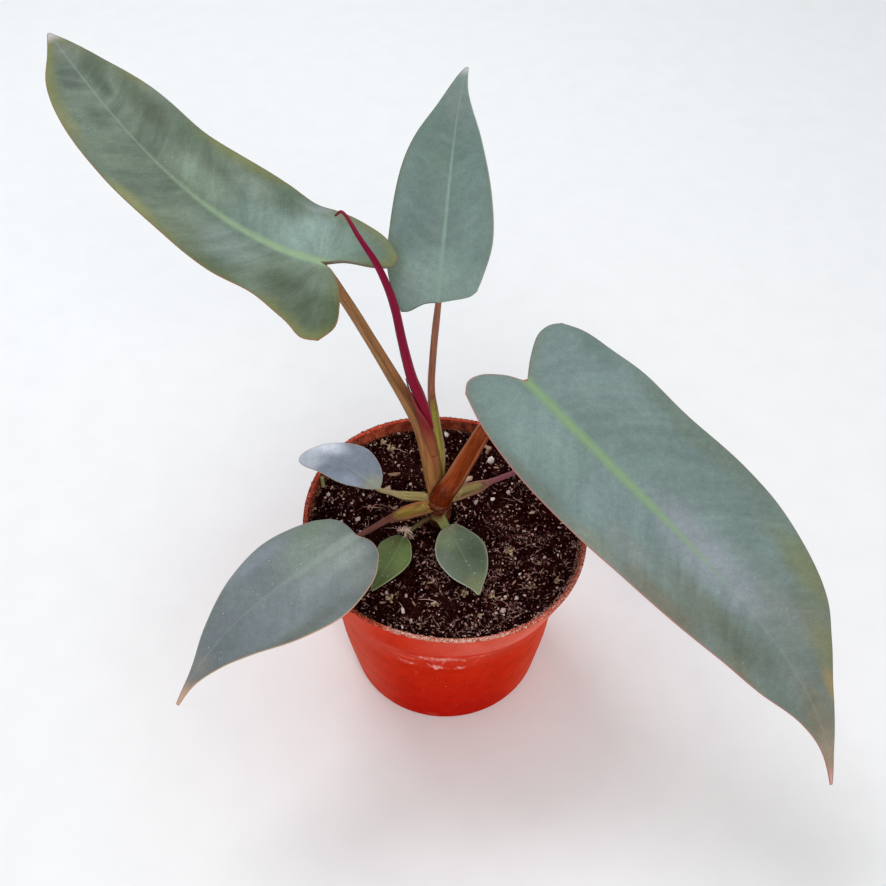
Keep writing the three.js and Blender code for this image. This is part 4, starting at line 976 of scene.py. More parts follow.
def rolled_ring(width, height, groove, k):
    """A leaf rolled like a scroll: its outer edge lies on the turn below, with a step at the seam."""
    around = np.arange(RING) / RING
    turned = (around + 0.12 + 0.0022 * k) % 1
    radius = 1.04 - 0.16 * turned - 0.05 * bell(turned, 0.05) - 0.05 * bell(turned - 1, 0.03)
    angle = 2 * np.pi * around
    seam = bell(turned, 0.06) + bell(turned - 1, 0.04)
    return width * radius * np.sin(angle), height * radius * np.cos(angle), 0 * angle, seam


# The bract that held the rolled leaf: a curved scale along the leaf's foot. Each station has its
# centre, its radius, how far it reaches to each side and the direction of its middle, in radians.
BRACT = [
    (-3.6, 15.2, 97, 1.7, 1.1, -0.2), (-4.2, 15.4, 105, 2.5, 1.3, -0.4), (-5.5, 16.1, 114, 2.7, 1.2, -0.8),
    (-7.6, 17, 122, 2.5, 0.8, -1.15), (-9.6, 17.8, 128.5, 2, 0.36, -1.4),
    (-10.8, 18.2, 132.5, 1.5, 0.05, -1.4),
]


def bract_ring(radius, reach, middle, k):
    """A thin curved scale: out along its outer face and back along its inner one."""
    turn = np.linspace(-1, 1, RING // 2)
    angle = middle + reach * np.concatenate([turn, turn[::-1]])
    outer = np.concatenate([np.ones(RING // 2), np.zeros(RING // 2)])
    edge = 1 - 0.85 * np.abs(np.concatenate([turn, turn[::-1]])) ** 6
    size = radius + 0.45 * (outer - 0.5) * edge
    return size * np.sin(angle), size * np.cos(angle), 1 - outer, 1 - edge


def rolled_material(name, dark, light, foot):
    m = Shader(name, Specular_IOR_Level=0.12)
    run, around, share = m.split("stalk_place")
    _, seam, _ = m.split("stalk_marks")
    streaks = m.noise(m.join(m.times(around, 14.0), m.times(run, 0.03)), 1.8, 4)
    colour = m.mix(m.ramp(streaks, 0.3, 0.7), dark, light)
    colour = m.mix(m.ramp(share, 0.05, 0.5, 1.0, 0.0), colour, foot)
    colour = m.mix(m.ramp(share, 0.8, 1.0, 0.0, 0.45), colour, (0.22, 0.035, 0.055))
    # Darker along the seam mark: on the rolled leaf this is painted shade in the step where its edge lies on
    # the turn below; on the bract it darkens the scale's edges
    colour = m.mix(m.times(seam, 0.75), colour, tuple(0.35 * c for c in dark))
    return m.finish(colour, m.ramp(streaks, 0.3, 0.7, 0.32, 0.46), m.bump(streaks, 0.0003, 0.4))


def make_rolled_leaf():
    toward = (0, -0.7, 0.7)
    leaf = rolled_material("rolled_leaf", (0.13, 0.0, 0.016), (0.3, 0.004, 0.045), (0.24, 0.006, 0.025))
    make_loft("fine_rolled_leaf", ROLLED_LEAF, toward, rolled_ring, leaf, ["rolled_leaf"])
    bract = rolled_material("bract", (0.15, 0.004, 0.008), (0.36, 0.05, 0.05), (0.36, 0.13, 0.05))
    make_loft("rolled_leaf_bract", BRACT, (0, -1, 0), bract_ring, bract, [])


# The stem's stations, as a petiole's. STEM_RINGS are the heights of its scars.
STEM_STATIONS = [
    (-1.5, 6.8, 44, 1.6, 1.6, 0), (-1.5, 6.8, 54, 3, 3, 0), (-1.5, 6.8, 66, 3.8, 3.8, 0),
    (-1.5, 6.9, 71, 3.9, 3.9, 0), (-1.5, 7, 72.6, 4.3, 4.3, 0), (-1.5, 7.1, 73.4, 3.8, 3.8, 0),
    (-1.5, 7.3, 76, 3.9, 3.9, 0), (-1.6, 7.4, 77.2, 4.4, 4.4, 0), (-1.6, 7.5, 78, 3.9, 3.9, 0),
    (-1.6, 7.6, 78.8, 4.3, 4.3, 0), (-1.6, 8, 79.8, 3.4, 3.4, 0), (-1.6, 9, 81, 2, 2, 0),
]
STEM_RINGS = (72.6, 77.2, 78.8)


def stem_material():
    m = Shader("stem", Specular_IOR_Level=0.15)
    run, around, _ = m.split("stalk_place")
    height = m.parts(m.place())[2]
    rings = m.noise(m.join(m.times(run, 0.9), m.times(around, 1.5)), 1.2, 5, 0.6)
    colour = m.mix(m.ramp(rings, 0.3, 0.7), (0.07, 0.012, 0.005), (0.24, 0.065, 0.02))
    for level in STEM_RINGS:
        off = m.math("ABSOLUTE", m.math("SUBTRACT", height, (level - 0.5) * MM))
        colour = m.mix(m.ramp(off, 0.2 * MM, 0.9 * MM, 0.85, 0.0), colour, (0.07, 0.004, 0.003))
    buried = m.ramp(height, (SOIL_LEVEL + 1) * MM, (SOIL_LEVEL + 4) * MM, 0.8, 0.0)
    colour = m.mix(buried, colour, (0.03, 0.012, 0.008))
    colour = m.mix(m.times(m.ramp(m.noise(m.place(), 900, 3), 0.55, 0.7), 0.4), colour, (0.3, 0.17, 0.08))
    return m.finish(colour, 0.42, m.bump(rings, 0.0006, 0.6))


def stem_ring(width, height, groove, k):
    """A round ring, a little uneven."""
    angle = 2 * np.pi * np.arange(RING) / RING
    uneven = 1 + 0.03 * np.sin(3 * angle + 0.3 * k) + 0.02 * np.sin(7 * angle + k)
    return width * uneven * np.sin(angle), height * uneven * np.cos(angle), 0 * angle, 0 * angle


def make_stem():
    make_loft("fine_stem", STEM_STATIONS, (0, -1, 0), stem_ring, stem_material(), ["stem"], 6)


# The pot
def rounded(profile, corners):
    """The profile with a small arc in place of each corner that has a radius."""
    points = [np.array(p, float) for p in profile]
    made = [points[0]]
    for i in range(1, len(points) - 1):
        before, here, after = points[i - 1], points[i], points[i + 1]
        radius = min(corners[i], 0.45 * np.linalg.norm(here - before), 0.45 * np.linalg.norm(after - here))
        start, end = here + unit(before - here) * radius, here + unit(after - here) * radius
        for u in (0, 0.25, 0.5, 0.75, 1) if radius > 0 else (0,):
            made.append(start * (1 - u) ** 2 + 2 * here * u * (1 - u) + end * u**2)
    made.append(points[-1])
    return made


def filled(points, step):
    """The same line with points no further than step apart."""
    made = [points[0]]
    for a, b in zip(points, points[1:]):
        creased = a[0] > FOOT_RADIUS + 7.3 and 42 < a[1] < b[1] < BAND_FOOT
        count = max(1, math.ceil(np.linalg.norm(b - a) / (CREASE_STEP if creased else step)))
        made += [a + (b - a) * (k + 1) / count for k in range(count)]
    return np.array(made)


# The corners of the turned outline, each as (radius, height) and how far it is rounded
POT_PROFILE = [
    ((0, 0), 0), ((FOOT_RADIUS + 0.6, 0), 1.5), ((FOOT_RADIUS + 3.9, 20), 0.1),
    ((FOOT_RADIUS + 7.4, 43), 0.1), ((WALL_TOP_RADIUS, BAND_FOOT - 1), 1.0),
    ((LIP_RADIUS - 1.1, BAND_FOOT), 0.9), ((LIP_RADIUS - 0.6, POT_HEIGHT - 1.9), 0.4),
    ((LIP_RADIUS, POT_HEIGHT - 1.1), 0.3), ((LIP_RADIUS - 0.05, POT_HEIGHT), 0.5),
    ((LIP_RADIUS - LIP_WIDTH, POT_HEIGHT), 0.4), ((LIP_RADIUS - LIP_WIDTH - 0.3, BAND_FOOT + 1.2), 0.8),
    ((WALL_TOP_RADIUS - WALL, BAND_FOOT - 1), 0.8), ((FOOT_RADIUS + 7.4 - WALL, 43), 0.1),
    ((FOOT_RADIUS + 3.9 - WALL, 20), 0.1), ((FOOT_RADIUS - WALL, FLOOR_THICKNESS), 1.0),
    ((0, FLOOR_THICKNESS), 0),
]
POT_SEGMENTS = 260
# The columns of faces stand closer together at the front
FRONT_CROWDING = 0.7
# The direction in which the lip is longest, from the front
LONG_WAY = math.radians(40)
# The middle of the wall's thickness: height and radius
WALL_MIDDLE = [
    (0, FOOT_RADIUS - WALL / 2), (BAND_FOOT - 1, WALL_TOP_RADIUS - WALL / 2),
    (BAND_FOOT + 1, LIP_RADIUS - 1.7), (POT_HEIGHT, LIP_RADIUS - 0.9),
]
# Creases in the wall below the band: each one's line, as degrees from the front and heights, how
# far it stands out, its half width and how much it whitens the plastic, as stress whitening and painted
# glints
CREASES = [
    ([(-24, 53.1), (-21, 51.6), (-18, 51.1), (-15, 51.4)], 0.4, 0.6, 0.4),
    ([(-26, 49.6), (-24, 49.2), (-21.5, 50.2)], 0.25, 0.6, 0.35),
    ([(-20, 51.6), (-19.4, 48.8)], 0.2, 0.5, 0.3),
    ([(-12, 49), (-9, 50), (-7.5, 49.4)], 0.35, 0.6, 0.35),
    ([(-8.4, 52.6), (-7, 51.8), (-6.4, 50.6)], 0.6, 0.5, 0.75),
    ([(-6.4, 55.2), (-5, 53.6), (-3.4, 53), (-1.4, 54)], 0.4, 1.0, 0.3),
    ([(-5.4, 52.2), (-4.4, 49.8), (-3.2, 47.4)], -0.8, 0.5, 0),
    ([(-4.6, 51.2), (-3.4, 50.2), (-2, 49.8)], 0.6, 0.6, 0.85),
    ([(-1.4, 49.8), (1.5, 49.2)], 0.4, 0.6, 0.45),
    ([(-5.6, 49.5), (-4.2, 48.4), (-3.4, 48)], 0.5, 0.5, 0.85),
    ([(3.6, 48.8), (5.8, 49.1)], 0.4, 0.5, 0.6),
    ([(6.4, 49.5), (8.4, 50.6)], 0.7, 0.7, 0.8),
    ([(12.5, 53), (17, 57.1)], 0.3, 0.4, 0.5),
    ([(-16, 55.4), (-8, 56.8), (-1, 56), (6, 54.8)], -0.3, 1.4, 0),
]
# Pale places on the wall, scuffs and painted highlights such as the glossy streaks at the sides:
# degrees from the front, height, half width, half height and strength
SCUFFS_AND_GLINTS = [
    (-4.4, 50.2, 2.8, 2.0, 0.8), (7.2, 50, 2.6, 1.2, 0.72), (-18, 50.1, 4.5, 2, 0.55),
    (-19, 54.3, 8, 1.5, 0.45), (-14.6, 42, 1.1, 7, 0.26), (-12, 27, 1.2, 6, 0.25),
    (28, 60, 4, 2.4, 0.45), (-9, 3.5, 5, 1.6, 0.4), (52, 40, 2, 12, 0.25), (-52, 45, 3, 12, 0.25),
    (-3, 56.8, 11, 1.9, 0.72), (15, 57.6, 8, 1.2, 0.45),
]
CREASE_STEP = 0.6


def pot_shell():
    """The turned and crumpled wall, before its floor is drilled."""
    line = rounded([p for p, _ in POT_PROFILE], [r for _, r in POT_PROFILE])
    line = filled(line, 1.6)[1:-1]
    turn = np.arange(POT_SEGMENTS) / POT_SEGMENTS
    angle = 2 * np.pi * turn - FRONT_CROWDING * np.sin(2 * np.pi * turn)
    radius = np.repeat(line[:, :1], POT_SEGMENTS, 1)
    height = np.repeat(line[:, 1:], POT_SEGMENTS, 1)
    radius = crumple(radius, height, np.broadcast_to(angle, radius.shape))
    points = bent(np.stack([radius * np.sin(angle), -radius * np.cos(angle), height], -1)).reshape(-1, 3)
    mesh_faces = tube_faces(len(line), POT_SEGMENTS)[:, ::-1].tolist()
    mesh_faces.append(list(range(POT_SEGMENTS))[::-1])
    mesh_faces.append([(len(line) - 1) * POT_SEGMENTS + k for k in range(POT_SEGMENTS)])
    mesh = bpy.data.meshes.new("fine_pot")
    mesh.from_pydata((points * MM).tolist(), [], mesh_faces)
    pot = bpy.data.objects.new("fine_pot", mesh)
    bpy.context.scene.collection.objects.link(pot)
    return pot


def make_pot():
    pot = pot_shell()
    drill(pot)
    mark_pot(pot)
    pot.data.materials.clear()
    pot.data.materials.append(pot_material())
    pot.data.polygons.foreach_set("use_smooth", [True] * len(pot.data.polygons))
    pot.data.set_sharp_from_angle(angle=math.radians(50))
    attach(pot, "root")
    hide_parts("pot")


def mark_pot(pot):
    """Gives each point how much the plastic has whitened there, with painted glints, and whether it faces
    inward.
    """
    points = np.array([v.co for v in pot.data.vertices]) / MM
    side = np.arctan2(points[:, 0], -points[:, 1])
    _, whitening_and_glints = creases(side, points[:, 2])
    round_radius = np.hypot(points[:, 0], points[:, 1]) / stretch(side, points[:, 2])
    middle = np.interp(points[:, 2], *np.array(WALL_MIDDLE, float).T)
    layer = pot.data.attributes.new("pot_marks", "FLOAT_VECTOR", "POINT")
    marks = np.stack([whitening_and_glints, round_radius < middle, 0 * whitening_and_glints], -1)
    layer.data.foreach_set("vector", marks.astype(np.float32).ravel())


def bulge(side):
    """How much further out than a circle the thin lip lies, by the angle from the front."""
    turn = side - LONG_WAY
    return 1.8 * np.cos(2 * turn) + 0.55 * np.cos(4 * turn) - 0.2


def stretch(side, height):
    """How much wider than round the pot is: oval towards its lip, and pressed in at the right."""
    up = np.clip(height / POT_HEIGHT, 0, 1)
    pressed = 3 * bell(side - 1, 0.5) * bell(height - 64, 8)
    return 1 + (bulge(side) * up**2 - pressed) / LIP_RADIUS


def bent(points):
    """The pot isn't quite round, and the soil follows it."""
    x, y, z = np.moveaxis(np.asarray(points, float), -1, 0)
    share = stretch(np.arctan2(x, -y), z)
    return np.stack([x * share, y * share, z], -1)


def creases(side, height):
    """How far the creases push each point of the wall out, and how much they and the scuffs whiten it, with
    painted glints.
    """
    lift, whitening_and_glints = np.zeros(np.shape(side)), np.zeros(np.shape(side))
    across = WALL_TOP_RADIUS * side
    for line, depth, width, whitening_and_glint in CREASES:
        line = np.array([(WALL_TOP_RADIUS * math.radians(a), z) for a, z in line])
        off = np.full(np.shape(side), np.inf)
        for (x0, z0), (x1, z1) in zip(line, line[1:]):
            span = (x1 - x0) ** 2 + (z1 - z0) ** 2
            u = np.clip(((across - x0) * (x1 - x0) + (height - z0) * (z1 - z0)) / span, 0, 1)
            off = np.minimum(off, np.hypot(across - x0 - u * (x1 - x0), height - z0 - u * (z1 - z0)))
        lift += depth * (bell(off, width) - 0.5 * bell(off - 2 * width, width))
        whitening_and_glints = np.maximum(whitening_and_glints, whitening_and_glint * bell(off, width))
    for degrees, middle, broad, tall, strength in SCUFFS_AND_GLINTS:
        off = np.hypot((across - WALL_TOP_RADIUS * math.radians(degrees)) / broad, (height - middle) / tall)
        whitening_and_glints = np.maximum(whitening_and_glints, strength * bell(off, 1))
    return lift, whitening_and_glints


def crumple(radius, height, angle):
    """The creases in the wall below the band, a soft unevenness round them, and its pressed sides."""
    side = np.where(angle > np.pi, angle - 2 * np.pi, angle)
    on_wall = (radius > 0.8 * BODY_TOP_RADIUS) & (height < BAND_FOOT - 2)
    lift, _ = creases(side, height)
    rumple = 0.3 * noise_at(np.stack([radius * side, height, 0 * side], -1), 7, 3)
    rumple = rumple * bell(side + 0.05, 0.7) * bell(height - 54, 9)
    pressed = 1.5 * (bell(side - 1.15, 0.5) + bell(side + 1.15, 0.5)) * bell(height - 44, 12)
    return radius + (0.7 * lift + rumple - pressed) * on_wall


def drill(pot):
    """Cuts the drainage holes through the pot's floor."""
    bits = bmesh.new()
    for i in range(DRAIN_HOLES):
        angle = 2 * math.pi * (i + 0.5) / DRAIN_HOLES
        place = Vector((DRAIN_RING * math.cos(angle), DRAIN_RING * math.sin(angle), 0)) * MM
        radius = DRAIN_RADIUS * MM
        bmesh.ops.create_cone(
            bits, cap_ends=True, segments=28, radius1=radius, radius2=radius, depth=3 * FLOOR_THICKNESS * MM,
            matrix=Matrix.Translation(place),
        )
    mesh = bpy.data.meshes.new("drill")
    bits.to_mesh(mesh)
    bits.free()
    cutter = bpy.data.objects.new("drill", mesh)
    bpy.context.scene.collection.objects.link(cutter)
    cut = pot.modifiers.new("drain", "BOOLEAN")
    cut.object, cut.operation, cut.solver = cutter, "DIFFERENCE", "EXACT"
    bpy.context.view_layer.update()
    made = bpy.data.meshes.new_from_object(pot.evaluated_get(bpy.context.evaluated_depsgraph_get()))
    pot.modifiers.remove(cut)
    pot.data = made
    bpy.data.objects.remove(cutter)


def pot_plastic_and_light(m, aside, z):
    """Red-orange plastic with faint blotches, darker towards the foot as painted shade and brighter and more
    orange towards the sides as painted light.
    """
    # Painted shade: darker towards the foot.
    colour = m.mix(m.ramp(z, 0.0, 0.06), (0.49, 0.006, 0.0), (0.56, 0.018, 0.001))
    # Painted light: brighter and more orange towards the sides.
    colour = m.mix(m.ramp(aside, 0.3, 1.1), colour, (0.66, 0.035, 0.004))
    blotches = m.ramp(m.noise(m.place(), 170, 5, 0.65), 0.25, 0.75)
    return m.mix(0.8, colour, m.mix(blotches, (0.86, 0.7, 0.7), (1.12, 1.3, 1.3)), "MULTIPLY")


def pot_dust_and_sheen(m, colour, place, side, aside, band, smudge):
    """Dust with painted sheen and light: hardly any on the front of the body; on its sides and upper part the
    pale pink is painted sheen and light with some dust; most dust on the band's right.
    """
    x, y, z = m.parts(place)
    facing = m.ramp(aside, 2.0, 3.0, 1.0, 0.0)
    uneven = m.math("ADD", m.ramp(side, -0.35, 0.8, 0.08, 0.84), m.ramp(side, -0.9, -0.35, 0.38, 0.0))
    on_band = m.math("ADD", m.times(uneven, facing), m.ramp(aside, 2.0, 3.0, 0.0, 0.45))
    # On the body the pale pink is painted light and sheen with some dust: lighter higher up and towards the
    # sides.
    body_dust_and_sheen = m.math("ADD", m.ramp(z, 0.044, 0.062, 0.0, 0.16), m.ramp(aside, 0.5, 1.4, 0.0, 0.3))
    body_dust_and_sheen = m.math("ADD", body_dust_and_sheen, m.times(m.ramp(side, -1.1, -0.3, 0.22, 0.0), facing))
    dust = m.math("ADD", m.times(band, on_band), m.times(m.math("SUBTRACT", 1.0, band), body_dust_and_sheen))
    wiped = m.noise(m.join(m.times(x, 55.0), m.times(y, 55.0), m.times(z, 210.0)), 1.0, 5, 0.6)
    dust = m.times(dust, m.ramp(smudge, 0.3, 0.65, 0.6, 1.2), m.ramp(wiped, 0.3, 0.7, 0.82, 1.18))
    colour = m.mix(dust, colour, (0.78, 0.2, 0.145))
    motes = m.times(m.ramp(m.noise(place, 1500, 2), 0.66, 0.74), m.ramp(smudge, 0.4, 0.7, 0.15, 0.5))
    return m.mix(motes, colour, (0.8, 0.3, 0.26))


def pot_whitening_and_glints(m, colour, place, crease):
    """Plastic that has whitened in the creases and scuffs, with painted glints and highlights, in broken
    flecks over a soft haze.
    """
    colour = m.mix(m.ramp(crease, 0.12, 0.75, 0.0, 0.5), colour, (0.8, 0.2, 0.15))
    broken = m.times(m.math("SUBTRACT", m.noise(place, 620, 4, 0.6), 0.5), 1.9)
    flecks = m.ramp(m.math("ADD", crease, broken), 0.42, 0.85)
    return m.mix(m.times(flecks, 0.8), colour, (0.84, 0.4, 0.38))


def pot_material():
    m = Shader("pot", Specular_IOR_Level=0.0, Coat_Weight=0.05, Coat_Roughness=0.2)
    place = m.place()
    x, y, z = m.parts(place)
    side = m.math("ARCTAN2", x, m.times(y, -1.0))
    aside = m.math("ABSOLUTE", side)
    smudge = m.noise(place, 45, 4)
    fine = m.noise(place, 700, 5, 0.7)
    crease, inner, _ = m.split("pot_marks")
    band = m.ramp(z, (BAND_FOOT - 5) * MM, (BAND_FOOT + 3) * MM)
    colour = pot_dust_and_sheen(m, pot_plastic_and_light(m, aside, z), place, side, aside, band, smudge)
    # Whitened creases and scuffs, with painted glints and highlights
    colour = pot_whitening_and_glints(m, colour, place, crease)
    # Pale dust lies on the lip at the front and also stands in for a painted highlight along the lip's outer
    # edge, and wet soil has dried on the inner face
    top = m.math("ADD", z, m.times(fine, 0.0006))
    top = m.ramp(top, (POT_HEIGHT - 0.35) * MM, (POT_HEIGHT - 0.1) * MM)
    lip_tone = m.mix(m.ramp(fine, 0.4, 0.6), (0.42, 0.03, 0.012), (0.66, 0.11, 0.06))
    colour = m.mix(m.times(top, 0.8), colour, lip_tone)
    at_front = m.times(m.ramp(side, -0.5, -0.3), m.ramp(side, 0.1, 0.45, 1.0, 0.0))
    # Pale dust on the lip's front, partly a painted highlight on its outer edge
    colour = m.mix(m.times(top, at_front, m.ramp(fine, 0.4, 0.55)), colour, (0.6, 0.26, 0.19))
    inside = m.times(m.ramp(inner, 0.3, 0.7), m.math("SUBTRACT", 1.0, top))
    inside = m.times(inside, m.ramp(z, (BAND_FOOT - 2) * MM, BAND_FOOT * MM))
    dirt = m.ramp(m.noise(place, 260, 5, 0.6), 0.38, 0.62)
    dirt = m.mix(dirt, (0.1, 0.024, 0.012), (0.5, 0.13, 0.06))
    colour = m.mix(m.times(inside, m.ramp(smudge, 0.25, 0.6, 0.55, 0.95)), colour, dirt)
    scratch = m.noise(m.join(m.times(x, 900.0), m.times(y, 900.0), m.times(z, 9000.0)), 0.6, 2)
    height = m.math("ADD", m.times(fine, 0.3), m.times(scratch, 0.2))
    roughness = m.ramp(smudge, 0.3, 0.7, 0.24, 0.42)
    roughness = m.math("MAXIMUM", roughness, m.times(m.math("MAXIMUM", top, inside), 0.85))
    roughness = m.math("MAXIMUM", roughness, m.times(band, 0.5))
    return m.finish(colour, roughness, m.bump(height, 0.0003, 0.3))


# The soil and what lies on it
def soil_height(x, y):
    flat = np.stack([x, y, 0 * x], -1)
    clods = np.array([noise.voronoi(p)[0][0] for p in (flat.reshape(-1, 3) / 3.4).tolist()])
    clods = clods.reshape(np.shape(x))
    bank = (4.4 - 1.2 * y / SOIL_RADIUS) * ramp(np.hypot(x, y), SOIL_RADIUS - BANK_WIDTH, SOIL_RADIUS)
    rough = 0.9 * noise_at(flat, 16, 2) + 0.7 * noise_at(flat, 3.2, 4) + 0.9 * (0.5 - clods)
    return SOIL_LEVEL + bank + rough


def soil_material():
    m = Shader("soil", Specular_IOR_Level=0.0)
    place = m.place()
    grain = m.noise(place, 900, 6, 0.7)
    patch = m.noise(place, 120, 3)
    colour = m.mix(m.ramp(grain, 0.42, 0.7), (0.006, 0.0005, 0.0006), (0.05, 0.01, 0.009))
    colour = m.mix(m.times(m.ramp(patch, 0.45, 0.7), 0.3), colour, (0.06, 0.015, 0.012))
    bright = m.ramp(m.noise(place, 1500, 3), 0.66, 0.72)
    colour = m.mix(m.times(bright, 0.8), colour, (0.6, 0.34, 0.3))
    return m.finish(colour, m.ramp(grain, 0.3, 0.7, 0.5, 0.95), m.bump(grain, 0.0015, 1.0))


def make_soil():
    """The soil's rough top, and under it a plain skirt that stays clear of the pot's wall."""
    rings, segments = 84, 300
    radius = np.linspace(0.3, SOIL_RADIUS, rings)[:, None]
    angle = 2 * np.pi * np.arange(segments)[None] / segments
    x, y = radius * np.cos(angle), radius * np.sin(angle)
    top = np.stack([x, y, soil_height(x, y)], -1)
    skirt = [
        (SOIL_RADIUS, BAND_FOOT + 1.5), (WALL_TOP_RADIUS - WALL - 1.9, BAND_FOOT - 1),
        (FOOT_RADIUS - WALL - 1.2, FLOOR_THICKNESS + 1.3),
        (FOOT_RADIUS - WALL - 2.1, FLOOR_THICKNESS + 0.3), (0.3, FLOOR_THICKNESS + 0.3),
    ]
    skirt = np.array([[(r * math.cos(a), r * math.sin(a), z) for a in angle[0]] for r, z in skirt])
    points = bent(np.concatenate([top, skirt]))
    faces = tube_faces(len(points), segments).tolist()
    faces.append(list(range(segments)))
    faces.append([(len(points) - 1) * segments + k for k in range(segments)][::-1])
    make_piece("fine_soil", points.reshape(-1, 3), faces, soil_material(), ["soil"])


def ball(subdivisions):
    """A unit ball's points and triangles."""
    bm = bmesh.new()
    bmesh.ops.create_icosphere(bm, subdivisions=subdivisions, radius=1)
    points = np.array([v.co for v in bm.verts])
    faces = np.array([[v.index for v in face.verts] for face in bm.faces])
    bm.free()
    return points, faces


def random_turns(rng, count):
    """Random rotations, one to a grain."""
    q = unit(rng.normal(size=(count, 4)))
    w, x, y, z = q.T
    return np.stack([
        np.stack([1 - 2 * (y * y + z * z), 2 * (x * y - w * z), 2 * (x * z + w * y)], -1),
        np.stack([2 * (x * y + w * z), 1 - 2 * (x * x + z * z), 2 * (y * z - w * x)], -1),
        np.stack([2 * (x * z - w * y), 2 * (y * z + w * x), 1 - 2 * (x * x + y * y)], -1),
    ], 1)


def grains(name, rng, centres, sizes, material, rough, paleness=1.0):
    """Lumps of given sizes at given centres, each turned and knocked out of shape at random. The
    higher paleness is, the fewer of them are pale."""
    shape, triangles = ball(1)
    count = len(centres)
    lumps = shape[None] * (1 + rough * rng.uniform(-1, 1, (count, len(shape), 1)))
    lumps = np.einsum("nij,nvj->nvi", random_turns(rng, count), lumps * sizes[:, None])
    points = (lumps + centres[:, None]).reshape(-1, 3)
    faces = (triangles[None] + (np.arange(count) * len(shape))[:, None, None]).reshape(-1, 3)
    tone = np.repeat(rng.uniform(0, 1, (count, 3)) ** [paleness, 1, 1], len(shape), 0)
    make_piece(name, points, faces, material, (), {"grain": tone}, smooth=False)


def on_soil(rng, count, inner=5.0, outer=SOIL_RADIUS - 0.8, sunk=0.0):
    """Random places on the soil, clear of the stem."""
    x0, y0 = STEM_FOOT
    reach = outer * np.sqrt(rng.uniform(0, 1, 2 * count))
    angle = rng.uniform(0, 2 * np.pi, 2 * count)
    x, y = reach * np.cos(angle), reach * np.sin(angle)
    keep = np.hypot(x - x0, y - y0) > inner
    x, y = x[keep][:count], y[keep][:count]
    return bent(np.stack([x, y, soil_height(x, y) - sunk], -1))


def grain_material(name, dark, light, spread, roughness=0.85):
    m = Shader(name, Specular_IOR_Level=0.05)
    tone = m.split("grain")[0]
    fine = m.noise(m.place(), 2400, 4, 0.7)
    share = m.math("ADD", m.times(tone, spread), m.times(fine, 1 - spread))
    colour = m.mix(m.ramp(share, 0.2, 0.8), dark, light)
    return m.finish(colour, roughness, m.bump(fine, 0.0003, 0.6))


# Bits of perlite that can be told apart: x, y and size
PERLITE = [
    (1.6, 47.4, 1.7), (1.5, 38.3, 1.0), (18.6, 35.3, 1.6), (18.6, 16, 1.8), (24.5, 19.4, 1.5),
    (12.1, 14.2, 1.3), (-17.6, 48.3, 1.2), (-37.4, 9.3, 1.2), (-32.2, 7.3, 1.6), (-38.6, 6.2, 1.3),
    (6.1, -20.8, 0.9), (20, -34.9, 1.6), (25.2, -29.6, 1.1), (26.8, -18.9, 0.9), (29.4, 0.6, 1.0),
    (17.5, -12.5, 0.8), (40.5, -8.4, 0.7), (-14.7, -33.9, 1.5), (-13.7, -28.1, 1.3),
    (-11.9, -38.5, 1.3), (-28.2, -35, 0.9), (-48, 10, 0.6), (-43.8, 17.3, 1.2), (-30.6, 18.5, 1.0),
    (-23, 30, 1.1), (-20.8, -26, 0.9),
]
# Tan clods: x, y and size
CLODS = [
    (-20.1, 41.4, 2.3), (-19.7, -28.8, 1.8), (-3.9, -31.2, 1.5), (6.3, -26.8, 2), (16.4, -28.6, 2),
    (23.8, -8.5, 2.2), (39.6, -23.9, 1.7), (17.6, 40.1, 2), (-23.5, 43.4, 1.7), (30, -24, 1.3),
    (34, -14, 1.2), (12, -36, 1.3), (-32, 24, 1.2), (28, 30, 1.4), (-8, 36, 1.1),
]
# Papery flakes: x, y, length, breadth and the turn of the length from +X, in degrees
FLAKES = [
    (-19.1, 29.4, 5, 1.7, 8), (-21.6, 21.3, 4, 2.8, 60), (-18.4, 11.9, 2.6, 1.5, 30), (8.3, 25.7, 6, 3, 12),
    (17.6, 41.5, 4, 2.4, 140), (-26, 33, 2.4, 1.2, 100), (33, 9, 2.6, 1.1, 20), (-8, 31, 2.4, 1, 70),
]


LITTER_SEED = 11
CRUMB_TRIES = 17000
MOST_CRUMBS = 9000
FINE_PERLITE = 240
BARK_BITS = 420
CLOD_LUMPS = 16
FIBRE_TRIES = 5200
DROP_SEED = 5


def crowding(places):
    """The share of crumbs and fibres at each place: in patches, and thickest at the front right."""
    near = bell(np.hypot(places[:, 0] - 20, places[:, 1] + 22), 34)
    patches = ramp(noise_at(places * [1, 1, 0], 9, 2), -0.25, 0.2)
    return (0.35 + 0.65 * near) * (0.2 + 0.8 * patches)


def make_crumbs(rng):
    material = grain_material("crumbs", (0.012, 0.001, 0.001), (0.75, 0.45, 0.4), 0.8)
    places = on_soil(rng, CRUMB_TRIES, 4.5)
    places = places[rng.uniform(0, 1, len(places)) < crowding(places)][:MOST_CRUMBS]
    sizes = rng.uniform(0.12, 0.46, (len(places), 1)) * rng.uniform(0.35, 1.6, (len(places), 3))
    grains("soil_crumbs", rng, places, sizes, material, 0.45, paleness=4)


def make_perlite(rng):
    """Fine perlite everywhere, and the bits that can be told apart."""
    material = grain_material("perlite", (0.5, 0.34, 0.31), (0.97, 0.88, 0.82), 0.4)
    places = on_soil(rng, FINE_PERLITE, 6, sunk=-0.2)
    sizes = 0.16 + 0.5 * rng.uniform(0, 1, (len(places), 1)) ** 4
    sizes = sizes * rng.uniform(0.7, 1.3, (len(places), 3))
    big = np.array(PERLITE)
    places = np.vstack([places, lifted(big[:, 0], big[:, 1], 0.2 * big[:, 2])])
    sizes = np.vstack([sizes, 0.66 * big[:, 2:] * rng.uniform(0.55, 1.3, (len(big), 3))])
    grains("perlite", rng, places, sizes, material, 0.38)


